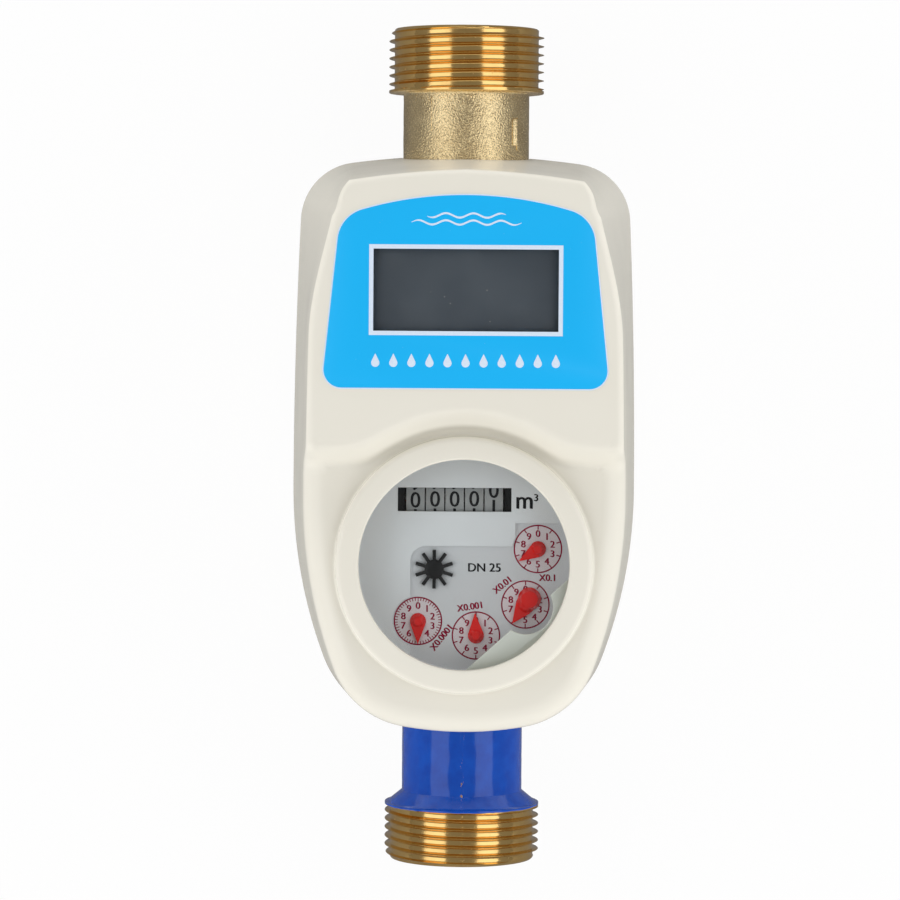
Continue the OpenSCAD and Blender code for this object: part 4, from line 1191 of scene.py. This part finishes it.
@dataclass
class DisplayPanel:
    """Blue label with its window, the print on it, and the display behind."""

    w: float = 73.2
    top_w: float = 66.4
    length: float = 50.0
    y: float = 16.6
    floor_z: float = 98.7
    top_z: float = 99.1
    arc_r: float = 94.0
    corner_r: float = 9.0
    foot_r: float = 5.0
    window_w: float = 47.2
    window_l: float = 20.9
    window_y: float = 42.0
    lens_lap: float = 1.2
    frame_w: float = 1.1
    line_w: float = 0.32
    film_drop: float = 0.04
    print_low: float = 99.04
    print_high: float = 99.095
    border_in: float = 0.08
    wave_rows: tuple[Point, ...] = ((59.2, 14.0), (61.0, 10.0))
    wave_w: float = 0.5
    wave_h: float = 0.55
    wave_l: float = 7.0
    wave_steps: int = 72
    wave_taper: float = 4.0
    wave_tip: float = 0.25
    drops: int = 11
    drop_pitch: float = 4.6
    drop_y: float = 23.4
    drop_r: float = 1.05
    drop_tip: float = 2.3
    drop_arc: Point = (-205.0, 25.0)

    def outline(self, grow: float) -> list[Point]:
        """Label outline: four corner arcs joined by tangent lines under an arched top.

        Args:
            grow: Distance by which the outline grows.

        Returns:
            Points round the label.
        """
        foot = Vector((self.w / 2 - self.foot_r, self.y + self.foot_r))
        head_x = self.top_w / 2 - self.corner_r
        arc_c = Vector((0, self.y + self.length - self.arc_r))
        head = Vector((head_x, arc_c.y + math.sqrt((self.arc_r - self.corner_r) ** 2 - head_x**2)))
        span = head - foot
        side = math.degrees(turn_of(span) - math.acos((self.foot_r - self.corner_r) / span.length))
        top = math.degrees(turn_of(head - arc_c))
        half = arc(foot, self.foot_r + grow, -90, side, 12)
        half += arc(head, self.corner_r + grow, side, top, 16)
        half += arc(arc_c, self.arc_r + grow, top, 90, 14)[1:]
        return half + [(-x, y) for x, y in reversed(half[:-1])]

    @staticmethod
    def prism(form: Form, outline: Sequence[Point], low: float, high: float) -> None:
        """Upright prism over an outline.

        Args:
            form: Where it is added.
            outline: Its plan.
            low: Height of its foot.
            high: Height of its top.
        """
        ring = form.start_ring(Vector((x, y, low)) for x, y in outline)
        base = bmesh.ops.contextual_create(form.bm, geom=form.ring_edges(ring))["faces"]
        lifted = bmesh.ops.extrude_face_region(form.bm, geom=base, use_keep_orig=True)["geom"]
        moved = [g for g in lifted if isinstance(g, bmesh.types.BMVert)]
        bmesh.ops.translate(form.bm, vec=(0, 0, high - low), verts=moved)

    @staticmethod
    def band(form: Form, outer: Sequence[Point], inner: Sequence[Point], low: float, high: float) -> None:
        """Flat closed band between two outlines with the same number of points.

        Args:
            form: Where it is added.
            outer: Its outside.
            inner: Its inside.
            low: Height of its foot.
            high: Height of its top.
        """
        first = ring = form.start_ring(Vector((x, y, low)) for x, y in outer)
        for points, z in ((outer, high), (inner, high), (inner, low)):
            ring = form.next_ring(ring, [Vector((x, y, z)) for x, y in points])
        form.join_rings(ring, first)

    def frame_outline(self, grow: float) -> list[Point]:
        """Window outline.

        Args:
            grow: Distance by which the outline grows.

        Returns:
            Its four corners.
        """
        x, y = self.window_w / 2 + grow, self.window_l / 2 + grow
        low, high = self.window_y - y, self.window_y + y
        return [(x, low), (x, high), (-x, high), (-x, low)]

    def waves(self, form: Form) -> None:
        """Two plain wave lines in the upper field.

        Args:
            form: The label's print.
        """
        for row, reach in self.wave_rows:
            above, below = [], []
            for i in range(self.wave_steps + 1):
                x = reach * (2 * i / self.wave_steps - 1)
                y = row + self.wave_h * math.sin(x * 2 * math.pi / self.wave_l)
                half = self.wave_w / 2 * min(1.0, self.wave_taper * (1 - abs(x) / reach) + self.wave_tip)
                above.append((x, y + half))
                below.append((x, y - half))
            self.prism(form, below + above[::-1], self.print_low, self.print_high)

    def drop(self, form: Form, x: float) -> None:
        """A plain water drop: a round foot and a point.

        Args:
            form: The label's print.
            x: Its place.
        """
        foot = arc((x, self.drop_y), self.drop_r, *self.drop_arc, 20)
        tip = (x, self.drop_y + self.drop_tip * self.drop_r)
        self.prism(form, foot + [tip], self.print_low, self.print_high)

    def build(self, nodes: Nodes) -> None:
        """Dress the label, its print, the window and the display.

        Args:
            nodes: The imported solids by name.
        """
        label = Form.of_node(nodes["display_label"])
        upper = [v for v in label.bm.verts if v.co.z > (self.floor_z + self.top_z) / 2]
        bmesh.ops.translate(label.bm, vec=(0, 0, -self.film_drop), verts=upper)
        settle(label.soften(0.06), "label_film", [Look.BLUE_FILM], Place("label_blue", ("display_label",)))
        marks = Form()
        low, high, edge = self.print_low, self.print_high, -self.border_in
        self.band(marks, self.frame_outline(self.frame_w), self.frame_outline(0.0), low, high)
        self.band(marks, self.outline(edge), self.outline(edge - self.line_w), low, high)
        self.waves(marks)
        for i in range(self.drops):
            self.drop(marks, self.drop_pitch * (i - (self.drops - 1) / 2))
        settle(marks.outward(), "label_print", [Look.WHITE_INK], Place("label_blue"))
        dress(nodes, "window_lens", Look.LENS, Place("clear_plastic", ("display_lens",)), 0.08)
        dress(nodes, "display_panel", Look.LCD, Place("lcd_dark", ("lcd_panel",)), 0.1)


@dataclass(frozen=True)
class CastMark:
    """Raised casting mark along a neck; its turn from the top towards +X and its lean back are in degrees."""

    turn: float
    lean: float
    low: float
    high: float
    wide: float
    proud: float


@dataclass(frozen=True)
class Ridge:
    """Parting line along a neck, at an angle from the top, with its width in degrees."""

    turn: float
    wide: float
    low: float
    high: float
    tall: float


@dataclass
class PipeEnd:
    """Threaded pipe end that takes the place of the plain one on a casting."""

    node: str
    name: str
    side: int
    end_y: float
    thread_l: float
    neck_r: float
    join_y: float
    axis_h: float = 36.0
    thread_r: float = 20.955
    bore_r: float = 12.5
    pitch: float = 2.309
    depth: float = 1.48
    flange_l: float = 0.9
    cone_l: float = 0.0
    cone_r: float = 0.0
    around: int = 112
    neck_steps: int = 30
    roughness: float = 0.05
    lead_in: float = 0.25
    ripples: tuple[Point, ...] = ((0.35, 1.0), (1.1, 0.6))
    ridge_fade: float = 1.2
    fillet: tuple[Point, ...] = ((0.15, 0.8), (0.3, 0.35), (0.65, 0.08), (1.0, 0.0))
    mouth: tuple[Point, ...] = ((0.0, 0.8), (0.25, 0.2), (0.8, 0.0))
    cone_steps: int = 6
    cone_round: float = 0.12
    ring_back: float = 0.1
    ring_round: float = 0.15
    flange_flat: float = 0.8
    mark_round: float = 0.45
    joint_gap: float = 0.8
    weld: float = 0.004
    near: float = 0.03
    ridges: tuple[Ridge, ...] = ()
    scars: tuple[CastMark, ...] = ()

    def spot(self, r: float, y: float, v: Vector) -> Vector:
        """Point at radius r and distance y along the pipe, in the direction of v from the axis."""
        e = Vector((v.x, v.z - self.axis_h)).normalized()
        return Vector((e.x * r, self.side * y, self.axis_h + e.y * r))

    def off_axis(self, v: bmesh.types.BMVert) -> float:
        """Distance of a vertex from the pipe's axis."""
        return math.hypot(v.co.x, v.co.z - self.axis_h)

    def thread(self, form: Form) -> None:
        """Helical thread, cut to length, with a lead-in at the pipe end and a full ring at the neck.

        Args:
            form: The pipe end, still empty.
        """
        start, end = self.end_y - self.thread_l, self.end_y
        low = start - 2 * self.pitch
        turns = math.ceil((end - low) / self.pitch) + 1
        root = self.thread_r - self.depth
        points = [(root + d * self.depth, low + t * self.pitch, self.axis_h) for t, d in THREAD_FORM]
        chain = [form.bm.verts.new(p) for p in points]
        edges = [form.bm.edges.new(pair) for pair in zip(chain, chain[1:])]
        bmesh.ops.spin(
            form.bm,
            geom=chain + edges,
            cent=(0, 0, self.axis_h),
            axis=(0, 1, 0),
            dvec=(0, self.pitch / self.around, 0),
            angle=2 * math.pi * turns,
            steps=self.around * turns,
            use_merge=False,
            use_duplicate=False,
        )
        bmesh.ops.remove_doubles(form.bm, verts=form.bm.verts, dist=self.weld)
        lead = self.depth + self.lead_in
        for y, clear in ((start, -1), (end, 1), (start + self.flange_l, 0), (end - lead, 0)):
            slice_across(form.bm, y, 0.02, clear or 1, bool(clear))
        for v in form.bm.verts:
            r = self.off_axis(v)
            limit = self.thread_r - lead + (end - v.co.y)
            new = min(r, limit)
            if v.co.y < start + self.flange_l * self.flange_flat:
                new = self.thread_r
            v.co.x *= new / r
            v.co.z = self.axis_h + (v.co.z - self.axis_h) * new / r
        if self.side < 0:
            bmesh.ops.scale(form.bm, vec=(1, -1, 1), verts=form.bm.verts)

    def open_edges(self, form: Form, y: float) -> list[bmesh.types.BMEdge]:
        """Open edges at a distance along the pipe.

        Args:
            form: The pipe end.
            y: The distance.

        Returns:
            The edges.
        """
        at = self.side * y
        borders = [e for e in form.bm.edges if e.is_boundary]
        return [e for e in borders if all(abs(v.co.y - at) < self.near for v in e.verts)]

    def end_loop(self, form: Form, y: float) -> Ring:
        """Vertices of the open loop at distance y, in order round the pipe."""
        loop = {v for e in self.open_edges(form, y) for v in e.verts}
        return sorted(loop, key=lambda v: math.atan2(v.co.z - self.axis_h, v.co.x))

    def neck_swell(self, y: float, v: Vector) -> float:
        """How far the cast neck stands proud or sinks at a place.

        Args:
            y: Distance along the pipe.
            v: A point in that direction from the axis.

        Returns:
            Height over the plain neck.
        """
        angle = math.degrees(math.atan2(v.x, v.z - self.axis_h))
        swell = 0.0
        for scale, share in self.ripples:
            swell += self.roughness * share * noise.noise(Vector((v.x * scale, y * scale, v.z * scale)))
        for ridge in self.ridges:
            away = abs((angle - ridge.turn + 180) % 360 - 180)
            fade = ease((y - ridge.low) / self.ridge_fade) * ease((ridge.high - y) / self.ridge_fade)
            swell += ridge.tall * fade * max(0.0, 1 - away / ridge.wide)
        return swell

    def scar(self, form: Form, mark: CastMark) -> None:
        """Add a casting mark to the neck.

        Args:
            form: The pipe end.
            mark: The mark.
        """
        turn = Matrix.Translation((0, 0, self.axis_h)) @ Matrix.Rotation(math.radians(mark.turn), 4, "Y")
        place = turn @ Matrix.Translation((0, self.side * (mark.low + mark.high) / 2, self.neck_r))
        place = place @ Matrix.Rotation(-math.radians(mark.lean), 4, "Y")
        shape = Matrix.Diagonal((mark.wide, mark.high - mark.low, 2 * mark.proud, 1.0))
        verts = bmesh.ops.create_cube(form.bm, size=1.0, matrix=place @ shape)["verts"]
        bmesh.ops.bevel(
            form.bm,
            geom=list({e for v in verts for e in v.link_edges}),
            offset=self.mark_round * min(mark.wide, mark.proud),
            affect="EDGES",
            segments=3,
            profile=0.5,
            material=-1,
        )

    def stops(self, start: float) -> list[Point]:
        """Rings of the neck.

        Args:
            start: Where the thread starts.

        Returns:
            Distance and radius of each ring, from the thread to the joint.
        """
        if self.cone_l:
            found = [(start, self.thread_r - self.cone_round)]
            for i in range(self.cone_steps + 1):
                share = i / self.cone_steps
                found.append((start - self.cone_l * share, self.cone_r + (self.neck_r - self.cone_r) * share))
        else:
            found = [(start - self.ring_back, self.thread_r - self.ring_round)]
            found += [(start - back, self.neck_r + more) for back, more in self.fillet]
        last = found[-1][0]
        for i in range(1, self.neck_steps + 1):
            found.append((last + (self.join_y - last) * i / self.neck_steps, self.neck_r))
        return found

    def build(self, nodes: Nodes, look: Finish, slot: str) -> None:
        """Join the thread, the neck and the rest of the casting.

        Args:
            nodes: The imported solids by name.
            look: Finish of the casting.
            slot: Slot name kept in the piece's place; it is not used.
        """
        form = Form()
        self.thread(form)
        start = self.end_y - self.thread_l
        ring = self.end_loop(form, start)
        spots = [v.co.copy() for v in ring]
        for i, (y, r) in enumerate(self.stops(start)):
            swell = 0.0 if i < 2 or y == self.join_y else 1.0
            points = [self.spot(r + swell * self.neck_swell(y, p), y, p) for p in spots]
            ring = form.next_ring(ring, points)
        mouth = self.end_loop(form, self.end_y)
        spots = [v.co.copy() for v in mouth]
        bore = [(self.end_y - back, self.bore_r + more) for back, more in self.mouth]
        for y, r in bore + [(self.join_y, self.bore_r)]:
            mouth = form.next_ring(mouth, [self.spot(r, y, p) for p in spots])
        self.attach(form.outward(), nodes[self.node], ring, mouth)
        for mark in self.scars:
            self.scar(form, mark)
        settle(form, self.name, [look], Place(slot, (self.node,)), 40)

    def attach(
        self, form: Form, solid: bpy.types.Object, ring: Ring, mouth: Ring
    ) -> None:
        """Cut the plain end off a copy of the casting and bridge it to the new one.

        Args:
            form: The new end.
            solid: The casting.
            ring: Open loop of the new neck.
            mouth: Open loop of the new bore.
        """
        stub = Form.of_node(solid)
        cut_y = self.join_y - self.joint_gap
        slice_across(stub.bm, self.side * cut_y, 0.01, self.side, True)
        mesh = bpy.data.meshes.new("stub")
        stub.bm.to_mesh(mesh)
        stub.bm.free()
        form.bm.from_mesh(mesh)
        bpy.data.meshes.remove(mesh)
        middle = (self.neck_r + self.bore_r) / 2
        open_edges = self.open_edges(form, cut_y)
        for loop, outer in ((ring, True), (mouth, False)):
            facing = [e for e in open_edges if (self.off_axis(e.verts[0]) > middle) == outer]
            bmesh.ops.bridge_loops(form.bm, edges=form.ring_edges(loop) + facing)


@dataclass
class Register:
    """Dial, counter, pointers and flow star under the glass."""

    centre: Vector = field(default_factory=lambda: Vector((0.0, -28.65, 0.0)))
    dial_z: float = 80.2
    step_z: float = 79.0
    print_t: float = 0.03
    circle: float = 19.6
    turns: tuple[float, ...] = (10.0, -34.6, -80.3, -127.2)
    names: tuple[str, ...] = ("tenths", "hundredths", "thousandths", "ten_thousandths")
    scale_r: float = 6.15
    digit_h: float = 1.75
    counter: Vector = field(default_factory=lambda: Vector((-2.5, -12.45, 72.1)))
    drum_r: float = 7.3
    drum_pitch: float = 5.1
    drum_digit_h: float = 4.1
    drum_ahead: tuple[float, ...] = (-1.6, 0.6, 0.8, 1.6, 19.5)
    tint_r: float = 1.0
    tint_t: float = 0.012
    line_in: float = 0.17
    line_out: float = 0.19
    digits_in: float = 2.15
    factors: tuple[tuple[str, float, float, float], ...] = (
        ("X0.1", 7.9, -72.0, 0.0),
        ("X0.01", 7.9, 141.0, 40.0),
        ("X0.001", 7.7, 103.0, 9.0),
        ("X0.0001", 7.5, -36.0, 52.0),
    )
    ticks: tuple[int, float, float] = (10, 0.3, 1.0)
    fine_ticks: tuple[int, float, float] = (50, 0.22, 0.75)
    tick_in: float = 0.1
    prints: tuple[tuple[str, float, tuple[float, float, float], float, float], ...] = (
        ("m", 3.0, (15.7, -13.2, dial_z), 0.95, 0.26),
        ("3", 1.85, (18.7, -11.8, dial_z), 1.0, 0.18),
        ("DN 25", 2.2, (5.4, -30.2, step_z), 1.0, 0.18),
    )

    def small_dial(self, i: int) -> Vector:
        """Middle of one small dial on the lower level."""
        return self.centre + Vector((*(unit(math.radians(self.turns[i])) * self.circle), self.step_z))

    def flat(self, at: Vector, turn_deg: float = 0.0) -> Matrix:
        """Place on a level dial face, turned about the vertical."""
        return Matrix.Translation(at) @ Matrix.Rotation(math.radians(turn_deg), 4, "Z")

    def around(self, i: int, angle: float, reach: float) -> Vector:
        """Place in the middle of the print, at an angle and a distance from the middle of a small dial."""
        return self.small_dial(i) + Vector((*(unit(math.radians(angle)) * reach), self.print_t / 2))

    def scales(self) -> None:
        """Crimson circles, ticks, digits and factors of the four small dials."""
        red, tint = Form(), Form()
        t, r = self.print_t, self.scale_r
        for i in range(len(self.turns)):
            at = self.small_dial(i)
            tint.lathe([(self.tint_r, 0.0), (r, 0.0), (r, self.tint_t), (self.tint_r, self.tint_t)], at, 72)
            low, high = r - self.line_in, r + self.line_out
            red.lathe([(low, 0.0), (high, 0.0), (high, t), (low, t)], at, 96)
            dense = i == len(self.turns) - 1
            count, wide, short = self.fine_ticks if dense else self.ticks
            for k in range(count):
                a = 360 * k / count
                long = short if k % 5 else self.ticks[2]
                red.bar((wide, long, t), self.flat(self.around(i, a + 90, r - self.tick_in - long / 2), a))
            for k in range(10):
                spot = self.around(i, 90 - 36 * k, r - self.digits_in)
                red.letters(str(k), self.digit_h, self.flat(spot), t)
        for i, (text, reach, angle, turn) in enumerate(self.factors):
            red.letters(text, self.digit_h, self.flat(self.around(i, angle, reach), turn), t, 0.95, 0.2)
        settle(red.outward(), "dial_print_crimson", [Look.RED_INK], Place("dial_white"))
        settle(tint.outward(), "dial_print_tint", [Look.PINK_INK], Place("dial_white"))

    def units(self) -> None:
        """Black print on the dial: the unit beside the counter and the nominal size."""
        black = Form()
        lift = Vector((0, 0, self.print_t / 2))
        for text, height, at, wide, strike in self.prints:
            black.letters(text, height, self.flat(Vector(at) + lift), self.print_t, wide, strike)
        settle(black.outward(), "dial_print_black", [Look.BLACK_INK], Place("dial_white"))

    def drums(self, nodes: Nodes) -> None:
        """Number drums with black digits; the last one stands between 0 and 1.

        Args:
            nodes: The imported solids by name.
        """
        for d, ahead in enumerate(self.drum_ahead):
            node = f"counter_drum_{d + 1}"
            form = Form.of_node(nodes[node]).soften(0.12)
            for face in form.bm.faces:
                face.material_index = 0
            axle = Matrix.Translation(self.counter + Vector(((d - 2) * self.drum_pitch, 0, 0)))
            rim = Matrix.Translation((0, 0, self.drum_r))
            for k in range(10):
                place = axle @ Matrix.Rotation(-math.radians(ahead - 36 * k), 4, "X") @ rim
                form.letters(str(k), self.drum_digit_h, place, 0.04, 0.95, 0.16, 1, self.drum_r)
            place = Place("grey_plastic", (node,), f"drum_{d + 1}")
            settle(form, f"number_drum_{d + 1}", [Look.DRUM, Look.BLACK_INK], place)

    def build(self, nodes: Nodes) -> None:
        """Dress everything in the register.

        Args:
            nodes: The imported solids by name.
        """
        dress(nodes, "dial_face", Look.DIAL, Place("dial_white", ("dial_plate",)), 0.12)
        self.scales()
        self.units()
        self.drums(nodes)
        for name in self.names:
            node = f"pointer_{name}"
            dress(nodes, f"red_{node}", Look.RED, Place("red_plastic", (node,), node), 0.18, 3)
        dress(nodes, "flow_star", Look.BLACK, Place("black_plastic", ("star_wheel",), "star_wheel"), 0.06)
        dress(nodes, "pulse_pickup", Look.PALE, Place("pale_plastic", ("pulse_sensor",)), 0.2)
        glass = Form.of_node(nodes["dial_glass"])
        settle(glass, "glass_disc", [Look.GLASS], Place("dial_glass", ("dial_glass",)))


@dataclass
class RearCover:
    """Cream tray behind the castings."""

    def build(self, nodes: Nodes) -> None:
        """Dress the tray.

        Args:
            nodes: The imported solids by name.
        """
        tray = Form.of_node(nodes["rear_cover"])
        settle(tray, "rear_tray", [Look.CREAM], Place("cream_plastic", ("rear_cover",)), 30)


@dataclass
class Innards:
    """Solids that keep their shape and only take a finish."""

    finishes: dict[Look, str] = field(
        default_factory=lambda: {
            Look.STEEL: "case_screws board_screws actuator_screws valve_ball valve_stem valve_motor "
            "pivot_pin drum_shaft",
            Look.BLACK: "lcd_frame board_parts battery_tray_left battery_tray_right register_case",
            Look.WHITE: "inlet_strainer valve_seats motor_pinion reduction_gear output_gear",
            Look.GREY: "actuator_tray actuator_lid measuring_chamber chamber_cover",
            Look.BRASS: "joint_nipple stem_gland locking_ring",
            Look.RUBBER: "joint_washer stem_seals glass_gasket",
            Look.GREEN: "circuit_board",
            Look.CELL: "battery_cells",
            Look.SKY: "impeller",
        }
    )

    def build(self, nodes: Nodes) -> None:
        """Give each solid its finish.

        Args:
            nodes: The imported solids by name.
        """
        for look, names in self.finishes.items():
            for name in names.split():
                mesh = nodes[name].data
                mesh.materials.clear()
                mesh.materials.append(look.material())
                LOG.info("%s: %s", name, look.value.name)


@dataclass
class Studio:
    """Camera above the meter, two long soft boxes, low fills that nothing mirrors, and a white table."""

    lens: float = 148.7
    sensor: float = 36.0
    clip: Point = (0.05, 20.0)
    eye: Vector = field(default_factory=lambda: Vector((-3.8, 41.5, 1046.0)))
    target: Vector = field(default_factory=lambda: Vector((-3.8, -1.4, 36.0)))
    roll_deg: float = 0.4
    box_tilt_deg: float = 42.0
    box_distance: float = 1000.0
    box_w: float = 640.0
    box_l: float = 900.0
    box_powers: tuple[float, float] = (1.9, 2.05)
    air: float = 0.55
    air_mirrored: float = 0.22
    fill_size: float = 500.0
    fills: tuple[tuple[float, float, float], ...] = (
        (0.0, 70.0, 3.9),
        (180.0, 76.0, 3.6),
        (90.0, 79.0, 3.7),
        (-90.0, 79.0, 3.4),
    )
    table_tone: float = 0.8
    table_mirrored: float = 0.21
    table_glow: float = 0.93
    table_size: float = 3000.0
    table_z: float = -0.3

    def camera(self) -> None:
        """Camera at the photograph's place."""
        data = bpy.data.cameras.new("camera")
        data.lens, data.sensor_width = self.lens, self.sensor
        data.clip_start, data.clip_end = self.clip
        look = (self.target - self.eye).normalized()
        side = look.cross(Vector((0, 1, 0))).normalized()
        turn = Matrix((side, side.cross(look), -look)).transposed().to_4x4()
        roll = Matrix.Rotation(math.radians(self.roll_deg), 4, "Z")
        bpy.context.scene.camera = put("camera", data, Matrix.Translation(self.eye * MM) @ turn @ roll)

    def lamp(self, name: str, power: float, size: Point, place: Matrix) -> bpy.types.Object:
        """One soft lamp of a size.

        Args:
            name: Its name.
            power: Its power in watts.
            size: Width and length.
            place: Its place and turn.

        Returns:
            The lamp.
        """
        data = bpy.data.lights.new(name, "AREA")
        data.shape, data.energy = "RECTANGLE", power
        data.size, data.size_y = size[0] * MM, size[1] * MM
        return put(name, data, place)

    def lamps(self) -> None:
        """Two soft boxes along the meter, left and right, and low fills all round."""
        away = Matrix.Translation((0, 0, self.box_distance * MM))
        for side, power in zip((-1, 1), self.box_powers):
            tilt = Matrix.Rotation(math.radians(self.box_tilt_deg) * side, 4, "Y")
            self.lamp(f"soft_box_{side}", power, (self.box_w, self.box_l), tilt @ away)
        for i, (turn_deg, tilt_deg, power) in enumerate(self.fills):
            turn = Matrix.Rotation(math.radians(turn_deg), 4, "Z")
            tilt = Matrix.Rotation(math.radians(tilt_deg), 4, "X")
            fill = self.lamp(f"low_fill_{i}", power, (self.fill_size, self.fill_size), turn @ tilt @ away)
            fill.visible_glossy = False

    def air_light(self) -> None:
        """Even light from all round, white to the camera and dim in mirrors."""
        sh = Shader("room", world=True)
        level: Value = self.air
        for ray, strength in (("Is Glossy Ray", self.air_mirrored), ("Is Camera Ray", 1.0)):
            met = sh.node("ShaderNodeLightPath", out=ray)
            level = sh.node("ShaderNodeMix", None, {"Factor": met, "A": level, "B": strength})
        air = sh.node("ShaderNodeBackground", None, {"Color": (1, 1, 1, 1), "Strength": level})
        bpy.context.scene.world = sh.finish(air)

    def table(self) -> None:
        """White table that keeps the meter's shadow."""
        form = Form()
        level = Matrix.Translation((0, 0, self.table_z))
        bmesh.ops.create_grid(form.bm, x_segments=8, y_segments=8, size=self.table_size, matrix=level)
        made = form.object("table")
        sh = Shader("white_table")
        seen = sh.node("ShaderNodeLightPath", out="Is Camera Ray")
        mirrored = sh.node("ShaderNodeLightPath", out="Is Glossy Ray")
        tone = sh.mix(mirrored, (self.table_tone,) * 3, (self.table_mirrored,) * 3)
        cloth = sh.principled({"Base Color": tone, "Roughness": 0.6 + sh.grain(2) * 0.1})
        glow = sh.node("ShaderNodeEmission", None, {"Color": (1, 1, 1, 1), "Strength": 1.0})
        top = sh.node("ShaderNodeMixShader", None, {0: seen * self.table_glow, 1: cloth, 2: glow})
        made.data.materials.append(sh.finish(top))

    def build(self) -> None:
        """Set up the picture."""
        bpy.context.scene.view_settings.view_transform = "Standard"
        self.camera()
        self.lamps()
        self.air_light()
        self.table()


def main() -> None:
    """Build the meter piece by piece."""
    logging.basicConfig(level=logging.INFO, format="%(name)s %(message)s")
    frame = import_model()
    nodes = frame["nodes"]
    Studio().build()
    panel = DisplayPanel()
    FrontCover().build(panel)
    RearCover().build(nodes)
    panel.build(nodes)
    valve_end = PipeEnd(
        node="valve_body",
        name="valve_casting",
        side=1,
        end_y=112.48,
        thread_l=17.2,
        neck_r=17.0,
        join_y=70.0,
        scars=(
            CastMark(49.5, 24.0, 80.8, 88.0, 1.5, 0.5),
            CastMark(54.0, 0.0, 79.6, 88.3, 0.8, 0.2),
            CastMark(-33.6, 0.0, 84.6, 93.6, 0.22, 0.1),
        ),
    )
    valve_end.build(nodes, CastBrass("cast_brass", 95.2), "brass")
    meter_end = PipeEnd(
        node="meter_body",
        name="meter_casting",
        side=-1,
        end_y=112.48,
        thread_l=15.2,
        neck_r=16.3,
        join_y=70.0,
        cone_l=3.3,
        cone_r=20.3,
        roughness=0.04,
        ridges=(Ridge(0.0, 2.4, 66.0, 97.0, 0.22),),
    )
    meter_end.build(nodes, PaintedCasting("painted_casting", -97.8), "blue_paint")
    Register().build(nodes)
    Innards().build(nodes)


if __name__ == "__main__":
    main()
